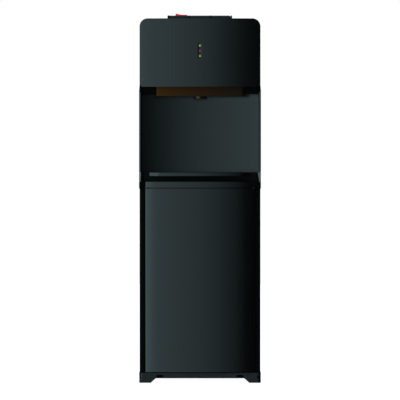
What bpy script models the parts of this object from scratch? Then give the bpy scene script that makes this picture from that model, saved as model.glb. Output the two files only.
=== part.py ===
"""Floor-standing bottled-water dispenser with a dispensing niche and a storage cabinet.

Metres, +Z up. The origin is at the centre of the footprint, on the floor. The front
faces -Y and +X is on the viewer's right.
"""

import math

import bmesh
import bpy
from mathutils import Matrix, Vector

# Overall envelope
WIDTH = 0.320
DEPTH = 0.340
HEIGHT = 0.970
HALF = WIDTH / 2
BODY_HALF = 0.1586
GAP = 0.0003
SHEET = 0.001

# Planes from front to back
BOW_Y = -DEPTH / 2
PROUD_Y = -0.160
FRAME_Y = -0.154
BEZEL_BACK_Y = -0.1398
RIM_Y = -0.135
BACK_Y = 0.150
REAR_Y = DEPTH / 2

# Levels from the floor up
FOOT_TOP = 0.012
BASE_STEP = 0.020
BASE_TOP = 0.0263
DOOR_BOTTOM = 0.0286
DOOR_TOP = 0.5094
HOUSING_BOTTOM = 0.5101
FLANGE_TOP = 0.5131
APRON_TOP = 0.5276
LIP_BOTTOM = 0.5428
LIP_HALF = 0.1340
NICHE_FLOOR = 0.5526
NICHE_CEILING = 0.761
PANEL_BOTTOM = 0.777
NICHE_TOP = 0.790
COVER_SKIRT = 0.926
PANEL_TOP = 0.9565
KEY_TOP = 0.9645

# Dispensing niche
NICHE_HALF = 0.155
NICHE_CORNER = 0.005
NICHE_TURN_Y = -0.062
NICHE_BACK_Y = -0.050

# Door and cabinet
DOOR_HALF = 0.1439
DOOR_MID_Y = -0.168
DOOR_BACK_Y = -0.1403
DOOR_WALL = 0.003
HINGE_X = 0.134
HINGE_Y = -0.152
PIN_RADIUS = 0.003
CABINET_BACK_Y = 0.040

# Top: keys, child lock and bottle seat
KEY_WIDTH = 0.0505
KEY_PITCH = 0.0553
KEY_CENTRE_X = 0.0005
KEY_FRONT_Y = -0.146
KEY_REAR_Y = -0.098
KEY_AXIS_Y = -0.104
KEY_AXIS_Z = 0.948
SHAFT_RADIUS = 0.002
STEM_Y = -0.134
SEAT_Y = 0.046
SEAT_RADIUS = 0.0975
NOZZLE_Y = -0.105

KEYS = ("hot", "normal", "cold")


# ---------------------------------------------------------------- scene helpers

def clear_scene():
    """Remove whatever objects the file starts with."""
    for leftover in list(bpy.data.objects):
        bpy.data.objects.remove(leftover)


def new_collection(name):
    """Make a collection under the scene's own."""
    group = bpy.data.collections.new(name)
    bpy.context.scene.collection.children.link(group)
    return group


def material(name, colour, roughness, metallic=0.0):
    """A plain surface: colour, roughness and metallic value."""
    surface = bpy.data.materials.new(name)
    surface.use_nodes = True
    shader = surface.node_tree.nodes["Principled BSDF"]
    shader.inputs["Base Color"].default_value = (*colour, 1.0)
    shader.inputs["Roughness"].default_value = roughness
    shader.inputs["Metallic"].default_value = metallic
    surface.diffuse_color = (*colour, 1.0)
    return surface


def keep(piece, surface, parent=None):
    """Put a finished sub-part in the dispenser's collection."""
    PARTS.objects.link(piece)
    piece.data.materials.append(surface)
    if parent is not None:
        piece.parent = parent
        piece.matrix_parent_inverse = Matrix.Translation(-parent.location)
    return piece


def joint_empty(name, place):
    """An empty on a joint's axis, to carry the pieces that move about it."""
    empty = bpy.data.objects.new(name, None)
    empty.location = place
    empty.empty_display_size = 0.02
    PARTS.objects.link(empty)
    return empty


def combine(piece, tool, operation):
    """Cut, join or intersect a piece with a tool shape."""
    CUTTERS.objects.link(tool)
    tool.hide_render = True
    tool.display_type = "WIRE"
    step = piece.modifiers.new(tool.name, "BOOLEAN")
    step.operation = operation
    step.solver = "EXACT"
    step.object = tool
    return piece


def cut(piece, tool):
    return combine(piece, tool, "DIFFERENCE")


def join(piece, tool):
    return combine(piece, tool, "UNION")


# ---------------------------------------------------------------- shape helpers

def boxes(name, corners):
    """One mesh of separate boxes, each given by its lowest and highest corner."""
    shape = bmesh.new()
    for low, high in corners:
        low = Vector(low)
        high = Vector(high)
        size = Matrix.Diagonal((*(high - low), 1.0))
        place = Matrix.Translation((low + high) / 2)
        bmesh.ops.create_cube(shape, size=1.0, matrix=place @ size)
    mesh = bpy.data.meshes.new(name)
    shape.to_mesh(mesh)
    shape.free()
    return bpy.data.objects.new(name, mesh)


def box(name, low, high):
    return boxes(name, [(low, high)])


def round_bar(name, centre, radius, length, axis="Z", sides=24):
    """A solid cylinder centred on a point, along one of the main axes."""
    turn = {
        "X": Matrix.Rotation(math.pi / 2, 4, "Y"),
        "Y": Matrix.Rotation(-math.pi / 2, 4, "X"),
        "Z": Matrix.Identity(4),
    }[axis]
    shape = bmesh.new()
    bmesh.ops.create_cone(
        shape,
        cap_ends=True,
        segments=sides,
        radius1=radius,
        radius2=radius,
        depth=length,
        matrix=turn,
    )
    mesh = bpy.data.meshes.new(name)
    shape.to_mesh(mesh)
    shape.free()
    mesh.shade_smooth()
    mesh.set_sharp_from_angle(angle=math.radians(40))
    bar = bpy.data.objects.new(name, mesh)
    bar.location = centre
    return bar


def plate(name, outline, low, high, facing="Z"):
    """A flat outline with thickness, from low to high along the axis that it faces.

    The outline is in X, Y for a plate facing Z, in X, Z for Y, and in Y, Z for X.
    """
    curve = bpy.data.curves.new(name, "CURVE")
    curve.dimensions = "2D"
    curve.fill_mode = "BOTH"
    curve.extrude = (high - low) / 2
    spline = curve.splines.new("POLY")
    spline.points.add(len(outline) - 1)
    for point, (across, up) in zip(spline.points, outline):
        point.co = (across, up, 0.0, 1.0)
    spline.use_cyclic_u = True
    middle = (low + high) / 2
    place = {
        "Z": Matrix.Translation((0.0, 0.0, middle)),
        "Y": Matrix.Translation((0.0, middle, 0.0)) @ Matrix.Rotation(math.pi / 2, 4, "X"),
        "X": Matrix.Translation((middle, 0.0, 0.0))
        @ Matrix.Rotation(math.pi / 2, 4, "Z")
        @ Matrix.Rotation(math.pi / 2, 4, "X"),
    }[facing]
    drawn = bpy.data.objects.new(name + "_outline", curve)
    bpy.context.scene.collection.objects.link(drawn)
    drawn.matrix_world = place
    depsgraph = bpy.context.evaluated_depsgraph_get()
    mesh = bpy.data.meshes.new_from_object(drawn.evaluated_get(depsgraph))
    mesh.name = name
    shape = bmesh.new()
    shape.from_mesh(mesh)
    bmesh.ops.remove_doubles(shape, verts=shape.verts, dist=0.00001)
    shape.to_mesh(mesh)
    shape.free()
    bpy.data.objects.remove(drawn)
    bpy.data.curves.remove(curve)
    solid = bpy.data.objects.new(name, mesh)
    solid.matrix_world = place
    return solid


def turned(name, profile, centre, steps=32, closed=True, facing="Z"):
    """A profile of radius and height, running down its outer side, turned about an axis."""
    count = len(profile)
    links = [(index, index + 1) for index in range(count - 1)]
    if closed:
        links.append((count - 1, 0))
    mesh = bpy.data.meshes.new(name)
    mesh.from_pydata([(radius, 0.0, height) for radius, height in profile], links, [])
    solid = bpy.data.objects.new(name, mesh)
    solid.location = centre
    if facing == "Y":
        solid.rotation_euler = (-math.pi / 2, 0.0, 0.0)
    screw = solid.modifiers.new("turn", "SCREW")
    screw.axis = "Z"
    screw.steps = steps
    screw.render_steps = steps
    screw.use_smooth_shade = True
    screw.use_merge_vertices = True
    screw.merge_threshold = 0.00005
    return solid


def tube(name, points, radius):
    """A round tube along a list of points."""
    curve = bpy.data.curves.new(name, "CURVE")
    curve.dimensions = "3D"
    curve.bevel_depth = radius
    curve.bevel_resolution = 2
    curve.use_fill_caps = True
    spline = curve.splines.new("POLY")
    spline.points.add(len(points) - 1)
    for point, place in zip(spline.points, points):
        point.co = (*place, 1.0)
    return bpy.data.objects.new(name, curve)


def smooth_route(stops, steps=3):
    """Points on a smooth curve through the stops of a hose or pipe."""
    stops = [Vector(stop) for stop in stops]
    padded = [2 * stops[0] - stops[1], *stops, 2 * stops[-1] - stops[-2]]
    route = []
    for index in range(1, len(padded) - 2):
        before, start, end, after = padded[index - 1:index + 3]
        for step in range(steps):
            t = step / steps
            route.append(0.5 * (
                2 * start
                + (end - before) * t
                + (2 * before - 5 * start + 4 * end - after) * t ** 2
                + (3 * start - before - 3 * end + after) * t ** 3
            ))
    route.append(stops[-1])
    return route


def arc(centre, radius, start, end, steps=6):
    """Points on an arc, angles in degrees."""
    points = []
    for step in range(steps + 1):
        angle = math.radians(start + (end - start) * step / steps)
        points.append((
            centre[0] + radius * math.cos(angle),
            centre[1] + radius * math.sin(angle),
        ))
    return points


def rounded_rectangle(left, right, bottom, top, low_radius, high_radius, steps=6):
    """An outline with one radius on its lower corners and another on its upper ones."""
    return (
        arc((right - low_radius, bottom + low_radius), low_radius, -90, 0, steps)
        + arc((right - high_radius, top - high_radius), high_radius, 0, 90, steps)
        + arc((left + high_radius, top - high_radius), high_radius, 90, 180, steps)
        + arc((left + low_radius, bottom + low_radius), low_radius, 180, 270, steps)
    )


def bowed_y(across, half, edge_y, middle_y):
    """How far forward a gently bowed front stands at a distance from the middle."""
    return middle_y + (edge_y - middle_y) * (across / half) ** 2


def bowed_plan(half, edge_y, middle_y, back_y, corner=0.0, steps=14):
    """A plan outline with a bowed front, rounded front corners and a flat back."""
    front_half = half - corner
    front = []
    for step in range(steps + 1):
        across = -front_half + 2 * front_half * step / steps
        front.append((across, bowed_y(across, front_half, edge_y, middle_y)))
    if corner:
        right = arc((half - corner, edge_y + corner), corner, -90, 0, 4)[1:]
        left = arc((-half + corner, edge_y + corner), corner, -180, -90, 4)[:-1]
        front = left + front + right
    return front + [(half, back_y), (-half, back_y)]


def niche_plan(offset=0.0, steps=10):
    """The niche wall's plan, pushed outwards by an offset.

    It runs from the left front edge straight back, round a corner, along the gently
    hollow back and forward again on the right.
    """
    turn_x = NICHE_HALF - NICHE_CORNER
    radius = NICHE_CORNER + offset
    edge_y = NICHE_TURN_Y + NICHE_CORNER
    back = []
    for step in range(1, steps):
        across = -turn_x + 2 * turn_x * step / steps
        back.append((across, bowed_y(across, turn_x, edge_y, NICHE_BACK_Y) + offset))
    return (
        [(-NICHE_HALF - offset, FRAME_Y)]
        + arc((-turn_x, NICHE_TURN_Y), radius, 180, 90, 5)
        + back
        + arc((turn_x, NICHE_TURN_Y), radius, 90, 0, 5)
        + [(NICHE_HALF + offset, FRAME_Y)]
    )


# ---------------------------------------------------------------- casing

def make_base():
    """Moulded foot frame: a stepped plinth on four splayed feet, open underneath."""
    corner = 0.010
    rear = 0.1525
    front = -0.1565
    outline = rounded_rectangle(-HALF, HALF, front, rear, corner, corner)
    base = plate("base", outline, BASE_STEP, BASE_TOP)
    inset = 0.0006
    skirt = rounded_rectangle(
        -HALF + inset, HALF - inset, front + inset, rear - inset, corner, corner
    )
    join(base, plate("plinth_skirt", skirt, FOOT_TOP, BASE_STEP + 0.001))
    wall = 0.004
    hollow = rounded_rectangle(
        -HALF + wall, HALF - wall, front + wall, rear - wall, corner - wall, corner - wall
    )
    cut(base, plate("plinth_hollow", hollow, FOOT_TOP - 0.01, BASE_TOP - wall))
    foot_length = 0.045
    for side in (-1, 1):
        foot = [
            (side * (HALF - inset), FOOT_TOP + 0.002),
            (side * 0.114, FOOT_TOP + 0.002),
            (side * 0.1294, 0.0),
            (side * (HALF - inset), 0.0),
        ]
        label = "left" if side < 0 else "right"
        for place, start in (("front", front + inset), ("rear", rear - inset - foot_length)):
            join(base, plate(f"foot_{place}_{label}", foot, start, start + foot_length, "Y"))
        slot = rounded_rectangle(
            side * 0.105 - 0.009, side * 0.105 + 0.009, 0.0136, 0.0210, 0.0036, 0.0036
        )
        cut(base, plate(f"plinth_slot_{label}", slot, front - 0.01, front + 0.01, "Y"))
    return keep(base, MATT_BLACK)


def make_side_panels():
    """Folded steel side sheets with a rounded front fold and a flange at each end."""
    fold = 0.008
    for side, label in ((-1, "left"), (1, "right")):
        outer = [(0.1449, FRAME_Y)] + arc(
            (BODY_HALF - fold, FRAME_Y + fold), fold, -90, 0
        ) + [(BODY_HALF, BACK_Y), (0.1460, BACK_Y)]
        inner = [(0.1460, BACK_Y - SHEET), (BODY_HALF - SHEET, BACK_Y - SHEET)] + arc(
            (BODY_HALF - fold, FRAME_Y + fold), fold - SHEET, 0, -90
        ) + [(0.1449, FRAME_Y + SHEET)]
        outline = [(side * across, along) for across, along in outer + inner]
        panel = plate(f"side_panel_{label}", outline, BASE_TOP + GAP, COVER_SKIRT - GAP)
        notch_low = (min(side * 0.13, side * 0.17), FRAME_Y - 0.01, HOUSING_BOTTOM - GAP)
        notch_high = (max(side * 0.13, side * 0.17), BEZEL_BACK_Y + GAP, NICHE_TOP + GAP)
        cut(panel, box(f"niche_notch_{label}", notch_low, notch_high))
        keep(panel, BLACK_STEEL)


def make_back_panel():
    """Rear sheet above the compressor bay, with two stand-off ribs for the condenser."""
    panel = box(
        "back_panel", (-0.1457, BACK_Y - SHEET, 0.215), (0.1457, BACK_Y, COVER_SKIRT - GAP)
    )
    for side, label in ((-1, "left"), (1, "right")):
        join(panel, box(
            f"condenser_rib_{label}",
            (side * 0.095 - 0.004, BACK_Y - SHEET / 2, 0.225),
            (side * 0.095 + 0.004, CONDENSER_Y - PIPE_RADIUS - GAP, 0.650),
        ))
    cut(panel, box(
        "switch_opening",
        (SWITCH_X - 0.028, BACK_Y - 0.01, SWITCH_Z - 0.0112),
        (SWITCH_X + 0.028, BACK_Y + 0.01, SWITCH_Z + 0.0112),
    ))
    cut(panel, round_bar("cord_opening", (SWITCH_X, BACK_Y, INLET_Z), 0.0083, 0.02, "Y"))
    cut(panel, round_bar("drain_opening", (DRAIN_X, BACK_Y, DRAIN_Z), 0.0062, 0.02, "Y"))
    vents = [
        ((-0.06, BACK_Y - 0.01, level), (0.06, BACK_Y + 0.01, level + 0.005))
        for level in (0.800, 0.815, 0.830, 0.845)
    ]
    cut(panel, boxes("vent_slots", vents))
    return keep(panel, BLACK_STEEL)


def make_top_cover():
    """Domed-edge lid with a stepped well for the bottle seat and an opening for the keys."""
    edge = 0.021
    wall = 0.003

    def section(inset):
        shoulder = edge - inset
        half = BODY_HALF - inset
        top = PANEL_TOP - inset
        return (
            [(-half, COVER_SKIRT), (half, COVER_SKIRT)]
            + arc((half - shoulder, top - shoulder), shoulder, 0, 90)
            + arc((-half + shoulder, top - shoulder), shoulder, 90, 180)
        )

    rear = BACK_Y + 0.0015
    cover = plate("top_cover", section(0.0), FRAME_Y, rear, "Y")
    inside = [(across, up if up > COVER_SKIRT else up - 0.01) for across, up in section(wall)]
    cut(cover, plate("cover_inside", inside, FRAME_Y - 0.01, rear - wall, "Y"))
    join(cover, round_bar("seat_boss", (0, SEAT_Y, PANEL_TOP - 0.0035), 0.101, 0.006, sides=40))
    cut(cover, round_bar(
        "seat_recess", (0, SEAT_Y, 0.9535 + 0.01), SEAT_RADIUS + 0.0006, 0.02, sides=40
    ))
    cut(cover, round_bar("seat_hole", (0, SEAT_Y, PANEL_TOP), 0.0915, 0.05, sides=40))
    cut(cover, box("key_opening", (KEYS_LEFT, -0.1495, 0.94), (KEYS_RIGHT, KEYS_BACK_Y, 0.97)))
    return keep(cover, GLOSS_BLACK)


def make_front_panel():
    """Bowed upper front, a shallow dish with big top corners and an oval lamp slot."""
    outline = rounded_rectangle(-BODY_HALF, BODY_HALF, PANEL_BOTTOM, PANEL_TOP, 0.0105, 0.021)
    panel = plate("front_panel", outline, BOW_Y - 0.002, FRAME_Y - GAP, "Y")
    bow = bowed_plan(BODY_HALF, PROUD_Y, BOW_Y, FRAME_Y + 0.01)
    wide = [(across * 1.002, along) for across, along in bow]
    combine(panel, plate("panel_bow", wide, 0.7, 1.0), "INTERSECT")
    wall = 0.0025
    inset = rounded_rectangle(
        -BODY_HALF + wall,
        BODY_HALF - wall,
        PANEL_BOTTOM + wall,
        PANEL_TOP - wall,
        0.0105 - wall,
        0.021 - wall,
    )
    hollow = plate("panel_hollow", inset, BOW_Y - 0.002, FRAME_Y + 0.01, "Y")
    inner_bow = bowed_plan(BODY_HALF, PROUD_Y + wall, BOW_Y + wall, FRAME_Y + 0.02)
    combine(hollow, plate("panel_inner_bow", inner_bow, 0.7, 1.0), "INTERSECT")
    cut(panel, hollow)
    slot = rounded_rectangle(-0.0055, 0.0055, 0.850, 0.892, 0.0054, 0.0054)
    cut(panel, plate("lamp_slot", slot, BOW_Y - 0.01, BOW_Y + 0.01, "Y"))
    return keep(panel, GLOSS_BLACK)


def make_lamps():
    """Dark oval insert with three indicator lenses."""
    oval = rounded_rectangle(
        -0.0055 + GAP, 0.0055 - GAP, 0.850 + GAP, 0.892 - GAP, 0.0051, 0.0051
    )
    insert = plate("lamp_insert", oval, BOW_Y + 0.0004, BOW_Y + 0.0036, "Y")
    levels = {"heating": 0.885, "power": 0.8713, "cooling": 0.8576}
    colours = {"heating": LAMP_AMBER, "power": LAMP_RED, "cooling": LAMP_GREEN}
    for name, level in levels.items():
        cut(insert, round_bar(f"hole_{name}", (0, BOW_Y, level), 0.0031, 0.02, "Y", 16))
        lens = turned(
            f"lens_{name}",
            [(0.0, 0.0), (0.0018, 0.0001), (0.0028, 0.0006), (0.0028, 0.0045), (0.0, 0.0045)],
            (0, BOW_Y + 0.0002, level),
            steps=16,
            closed=False,
            facing="Y",
        )
        lens.modifiers["turn"].use_normal_flip = True
        keep(lens, colours[name])
    keep(insert, MATT_BLACK)


def frame_plan(back_y, corner=0.004):
    """Plan of a full-width front moulding that narrows behind the steel sides' edges."""
    narrow = BODY_HALF - SHEET - GAP
    right = arc((HALF - corner, FRAME_Y + corner), corner, -90, 0, 4)
    right += [(HALF, BEZEL_BACK_Y), (narrow, BEZEL_BACK_Y), (narrow, back_y)]
    left = [(-across, along) for across, along in reversed(right)]
    return right + left


def lip_plan(back_y):
    """Plan of the tray's lip: gently bowed, with ends that turn back in a wide radius."""
    flat = 0.100
    radius = 0.062
    reach = DOOR_HALF - 0.006
    start = math.degrees(math.atan(2 * (PROUD_Y - DOOR_MID_Y) * flat / reach ** 2))
    front = []
    for step in range(9):
        across = -flat + 2 * flat * step / 8
        front.append((across, bowed_y(across, reach, PROUD_Y, DOOR_MID_Y)))
    swing = math.radians(start)
    centre = (flat - radius * math.sin(swing), front[-1][1] + radius * math.cos(swing))
    right = arc(centre, radius, -90 + start, -51, 6)[1:] + [(LIP_HALF, back_y)]
    left = [(-across, along) for across, along in reversed(right)]
    return left + front + right


def taper(name, low_outline, high_outline, low, high):
    """A solid between two outlines of the same count at two levels."""
    shape = bmesh.new()
    bottom = [shape.verts.new((*point, low)) for point in low_outline]
    top = [shape.verts.new((*point, high)) for point in high_outline]
    shape.faces.new(bottom)
    shape.faces.new(top)
    for index, corner in enumerate(bottom):
        after = (index + 1) % len(bottom)
        shape.faces.new((corner, bottom[after], top[after], top[index]))
    bmesh.ops.recalc_face_normals(shape, faces=shape.faces)
    mesh = bpy.data.meshes.new(name)
    shape.to_mesh(mesh)
    shape.free()
    return bpy.data.objects.new(name, mesh)


def make_niche_shell():
    """Dispensing niche: side walls and a gently hollow back in one, and its ceiling."""
    narrow = BODY_HALF - SHEET - GAP
    right = [(HALF - 0.002, FRAME_Y), (HALF, FRAME_Y + 0.002), (HALF, BEZEL_BACK_Y)]
    right.append((narrow, BEZEL_BACK_Y))
    left = [(-across, along) for across, along in reversed(right)]
    outer = niche_plan(narrow - NICHE_HALF)[1:-1]
    outline = niche_plan() + right + outer[::-1] + left
    shell = plate("niche_shell", outline, NICHE_FLOOR + GAP, NICHE_TOP)
    roof = niche_plan(0.001)
    roof[0] = (roof[0][0], -0.145)
    roof[-1] = (roof[-1][0], -0.145)
    join(shell, plate("niche_roof", roof, NICHE_CEILING, NICHE_CEILING + 0.0025))
    cut(shell, round_bar("nozzle_hole", (0, NOZZLE_Y, NICHE_CEILING), 0.0134, 0.02))
    return keep(shell, GLOSS_BLACK)


def make_nozzle():
    """Smoked cover below the niche ceiling, with the outlet nozzle through its floor."""
    bottom = 0.753
    outline = rounded_rectangle(-0.115, 0.115, FRAME_Y + 0.0005, -0.075, 0.008, 0.003, 4)
    cover = plate("nozzle_cover", outline, bottom, 0.782)
    inset = rounded_rectangle(-0.1125, 0.1125, FRAME_Y + 0.003, -0.0775, 0.0055, 0.001, 4)
    cut(cover, plate("cover_hollow", inset, bottom + 0.0025, 0.79))
    ceiling_room = NICHE_CEILING - GAP
    cut(cover, box("ceiling_room", (-0.13, -0.1455, ceiling_room), (0.13, -0.06, 0.80)))
    cut(cover, round_bar("outlet_hole", (0, NOZZLE_Y, bottom), 0.0134, 0.02))
    keep(cover, SMOKED_COPPER)
    nozzle = turned("nozzle", [
        (0.008, 0.775), (0.013, 0.775), (0.013, 0.7527), (0.0175, 0.7527),
        (0.0175, 0.7484), (0.0150, 0.7463), (0.008, 0.7463),
    ], (0, NOZZLE_Y, 0), 24)
    keep(nozzle, MATT_BLACK)


def make_tray_housing():
    """Moulding between niche and door: tray well, bowed apron and a full-width flange."""
    back = -0.033
    housing = plate("tray_housing", frame_plan(back), HOUSING_BOTTOM, NICHE_FLOOR)
    cut(housing, box("tray_well", (-0.150, -0.18, APRON_TOP), (0.150, -0.056, 0.57)))
    cut(housing, box("housing_underside", (-0.150, -0.1465, 0.49), (0.150, -0.036, 0.5246)))
    cut(housing, box("hollow_behind_well", (-0.150, -0.053, 0.49), (0.150, -0.036, 0.5496)))
    apron = bowed_plan(DOOR_HALF, PROUD_Y, DOOR_MID_Y, FRAME_Y + 0.002, 0.006)
    join(housing, plate("apron", apron, FLANGE_TOP - 0.001, APRON_TOP))
    flange = rounded_rectangle(-HALF, HALF, -0.1575, FRAME_Y + 0.006, 0.0035, 0.0005)
    join(housing, plate("flange", flange, HOUSING_BOTTOM, FLANGE_TOP))
    for side, label in ((-1, "left"), (1, "right")):
        low = [(side * 0.1590, -0.156), (side * 0.1620, -0.156), (side * 0.1620, -0.1520)]
        high = [(side * 0.1497, -0.156), (side * 0.1620, -0.156), (side * 0.1620, -0.1366)]
        cut(housing, taper(f"cheek_chamfer_{label}", low, high, APRON_TOP, NICHE_FLOOR + 0.001))
    return keep(housing, GLOSS_BLACK)


def make_drip_tray(tray_body):
    """Pull-out tray with a bowed lip to grip, and its slotted grille."""
    half = 0.1495
    tray = box("drip_tray", (-half, -0.150, APRON_TOP + GAP), (half, -0.0565, NICHE_FLOOR - GAP))
    join(tray, plate("tray_lip", lip_plan(-0.148), LIP_BOTTOM, NICHE_FLOOR - GAP))
    cut(tray, box("tray_sump", (-0.1425, -0.146, 0.5302), (0.1425, -0.0612, 0.56)))
    cut(tray, box("grille_rebate", (-0.1465, -0.148, 0.5467), (0.1465, -0.0587, 0.56)))
    keep(tray, GLOSS_BLACK, tray_body)
    grille = box("drip_grille", (-0.1462, -0.1477, 0.5470), (0.1462, -0.0590, 0.5500))
    slots = []
    pitch = 0.017
    for index in range(16):
        middle = (index - 7.5) * pitch
        slots.append(((middle - 0.004, -0.138, 0.54), (middle + 0.004, -0.069, 0.56)))
    cut(grille, boxes("grille_slots", slots))
    keep(grille, MATT_BLACK, tray_body)


# ---------------------------------------------------------------- storage cabinet

def make_cabinet():
    """Plastic cabinet box with a front rim and shelf ledges, and its slotted shelf."""
    liner = box("cabinet_liner", (-0.143, RIM_Y, 0.030), (0.143, CABINET_BACK_Y, 0.506))
    join(liner, box(
        "cabinet_rim", (-0.157, RIM_Y, BASE_TOP + 0.0006), (0.157, RIM_Y + 0.002, 0.5097)
    ))
    cut(liner, box("cabinet_inside", (-0.141, -0.15, 0.032), (0.141, CABINET_BACK_Y - 0.002, 0.504)))
    shelf_level = 0.262
    for side, label in ((-1, "left"), (1, "right")):
        edges = sorted((side * 0.1420, side * 0.1350))
        join(liner, box(
            f"shelf_ledge_{label}", (edges[0], -0.120, shelf_level - 0.004),
            (edges[1], 0.030, shelf_level),
        ))
    keep(liner, LINER_GREY)
    shelf = box("cabinet_shelf", (-0.1405, -0.122, shelf_level + GAP), (0.1405, 0.036, shelf_level + 0.004))
    slots = [((-0.120, along, 0.25), (0.120, along + 0.008, 0.28)) for along in
             (-0.105 + 0.020 * index for index in range(7))]
    cut(shelf, boxes("shelf_slots", slots))
    keep(shelf, LINER_GREY)


def make_door(door_body):
    """Bowed door dish with its inner pan, magnetic gasket and catch strike."""
    outline = bowed_plan(DOOR_HALF, PROUD_Y, DOOR_MID_Y, DOOR_BACK_Y, 0.006)
    door = plate("door_panel", outline, DOOR_BOTTOM, DOOR_TOP)
    inset = bowed_plan(
        DOOR_HALF - DOOR_WALL, PROUD_Y + DOOR_WALL, DOOR_MID_Y + DOOR_WALL,
        DOOR_BACK_Y + 0.01, 0.003
    )
    cut(door, plate("door_hollow", inset, DOOR_BOTTOM + DOOR_WALL, DOOR_TOP - DOOR_WALL))
    middle = (DOOR_BOTTOM + DOOR_TOP) / 2
    height = DOOR_TOP - DOOR_BOTTOM
    cut(door, round_bar(
        "hinge_bore", (HINGE_X, HINGE_Y, middle), PIN_RADIUS + GAP, height + 0.02, sides=16
    ))
    keep(door, GLOSS_BLACK, door_body)
    edge = DOOR_HALF - DOOR_WALL - GAP
    low = DOOR_BOTTOM + DOOR_WALL + GAP
    high = DOOR_TOP - DOOR_WALL - GAP
    pan = box("door_liner", (-edge, DOOR_BACK_Y - 0.002, low), (edge, DOOR_BACK_Y, high))
    join(pan, box("pan_bulge", (-0.108, DOOR_BACK_Y - 0.001, 0.050), (0.108, -0.132, 0.488)))
    keep(pan, LINER_GREY, door_body)
    gasket = box("door_gasket", (-0.132, DOOR_BACK_Y + GAP, 0.038), (0.132, RIM_Y - 0.0008, 0.500))
    cut(gasket, box("gasket_inside", (-0.122, -0.15, 0.048), (0.122, -0.12, 0.490)))
    keep(gasket, RUBBER, door_body)
    strike = box("catch_strike", (-0.1395, DOOR_BACK_Y + GAP, 0.262), (-0.1335, -0.1386, 0.284))
    keep(strike, BARE_STEEL, door_body)


def make_door_fittings():
    """Hinge pins above and below the door, and the magnet that holds it shut."""
    foot = box(
        "hinge_pin_bottom", (HINGE_X - 0.010, HINGE_Y - 0.0015, BASE_TOP + GAP),
        (HINGE_X + 0.010, HINGE_Y + 0.015, DOOR_BOTTOM - 0.0006),
    )
    join(foot, round_bar("lower_pin", (HINGE_X, HINGE_Y, 0.032), PIN_RADIUS, 0.009, sides=16))
    cut(foot, round_bar("lower_trim", (HINGE_X, HINGE_Y, 0.0230), 0.006, 0.0072, sides=16))
    keep(foot, BARE_STEEL)
    top = round_bar(
        "hinge_pin_top", (HINGE_X, HINGE_Y, DOOR_TOP - 0.0020), PIN_RADIUS, 0.0050, sides=16
    )
    keep(top, BARE_STEEL)
    magnet = box("catch_magnet", (-0.1400, -0.1382, 0.260), (-0.1330, RIM_Y - GAP, 0.286))
    keep(magnet, RUBBER)


# ---------------------------------------------------------------- keys and taps

def key_middle(index):
    """Where a key's centre stands across the top."""
    return KEY_CENTRE_X + (index - 1) * KEY_PITCH


def make_keys():
    """Three piano keys on one shaft, each pushing the stem of its own valve."""
    profile = [
        (KEY_FRONT_Y, 0.9470), (-0.128, 0.9470), (-0.128, 0.9600), (-0.113, 0.9600),
        (-0.113, 0.9438), (KEY_REAR_Y - 0.002, 0.9438), (KEY_REAR_Y, 0.9460),
        (KEY_REAR_Y, 0.9560), (KEY_REAR_Y - 0.005, 0.9630), (KEY_REAR_Y - 0.010, KEY_TOP),
        (KEY_FRONT_Y + 0.003, KEY_TOP), (KEY_FRONT_Y + 0.0008, KEY_TOP - 0.0008),
        (KEY_FRONT_Y, KEY_TOP - 0.003),
    ]
    for index, label in enumerate(KEYS):
        middle = key_middle(index)
        body = joint_empty(f"{label}_key_axis", (middle, KEY_AXIS_Y, KEY_AXIS_Z))
        key = plate(f"{label}_key", profile, middle - KEY_WIDTH / 2, middle + KEY_WIDTH / 2, "X")
        cut(key, round_bar(
            f"{label}_key_bore", (middle, KEY_AXIS_Y, KEY_AXIS_Z), SHAFT_RADIUS + GAP, 0.06, "X", 16
        ))
        if label == "hot":
            cut(key, box("lock_groove", (-0.0725, -0.1405, LOCK_FLOOR), (-0.0327, -0.1115, 0.98)))
        keep(key, SATIN_BLACK, body)
        stem_body = joint_empty(f"{label}_stem_axis", (middle, STEM_Y, 0.92))
        stem = turned(f"{label}_stem", [
            (0.0, 0.9466), (0.0020, 0.9462), (0.0035, 0.9450), (0.0035, 0.9430),
            (0.0030, 0.9420), (0.0030, 0.8990), (0.0, 0.8990),
        ], (middle, STEM_Y, 0), 12, closed=False)
        keep(stem, NATURAL_PLASTIC, stem_body)
    shaft = round_bar("key_shaft", (KEY_CENTRE_X, KEY_AXIS_Y, KEY_AXIS_Z), SHAFT_RADIUS, 0.180, "X", 16)
    keep(shaft, BARE_STEEL)
    console = box("key_console", (-0.0930, -0.1525, 0.9380), (0.0930, -0.0915, 0.9532))
    cut(console, box("console_inside", (KEYS_LEFT, -0.1495, 0.92), (KEYS_RIGHT, KEYS_BACK_Y, 0.97)))
    join(console, console_walls())
    cut(console, round_bar(
        "shaft_bore", (0, KEY_AXIS_Y, KEY_AXIS_Z), SHAFT_RADIUS + GAP, 0.30, "X", 16
    ))
    keep(console, MATT_BLACK)


def console_walls():
    """End cheeks, dividers between the keys and a low wall behind them, in one piece."""
    inset = 0.0003
    left = KEYS_LEFT + inset
    right = KEYS_RIGHT - inset
    rear = KEYS_BACK_Y - inset
    front = -0.1490
    walls = box("console_rear", (left, rear - 0.0020, 0.9400), (right, rear, WALL_TOP))
    join(walls, box("rear_root", (left, rear - 0.0010, 0.9400), (right, rear + 0.001, 0.9530)))
    for start, end, root in (
        (left, left + 0.0034, left - 0.001), (right - 0.0024, right, right + 0.001)
    ):
        join(walls, box("cheek", (start, front, 0.9400), (end, rear - 0.0005, WALL_TOP)))
        edges = sorted((root, (start + end) / 2))
        join(walls, box("cheek_root", (edges[0], front, 0.9400), (edges[1], rear, 0.9530)))
    half = 0.00175
    for index in (0, 1):
        middle = (key_middle(index) + key_middle(index + 1)) / 2
        join(walls, box(
            "divider", (middle - half, -0.1400, 0.9430), (middle + half, rear - 0.0005, WALL_TOP)
        ))
    return walls


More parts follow.
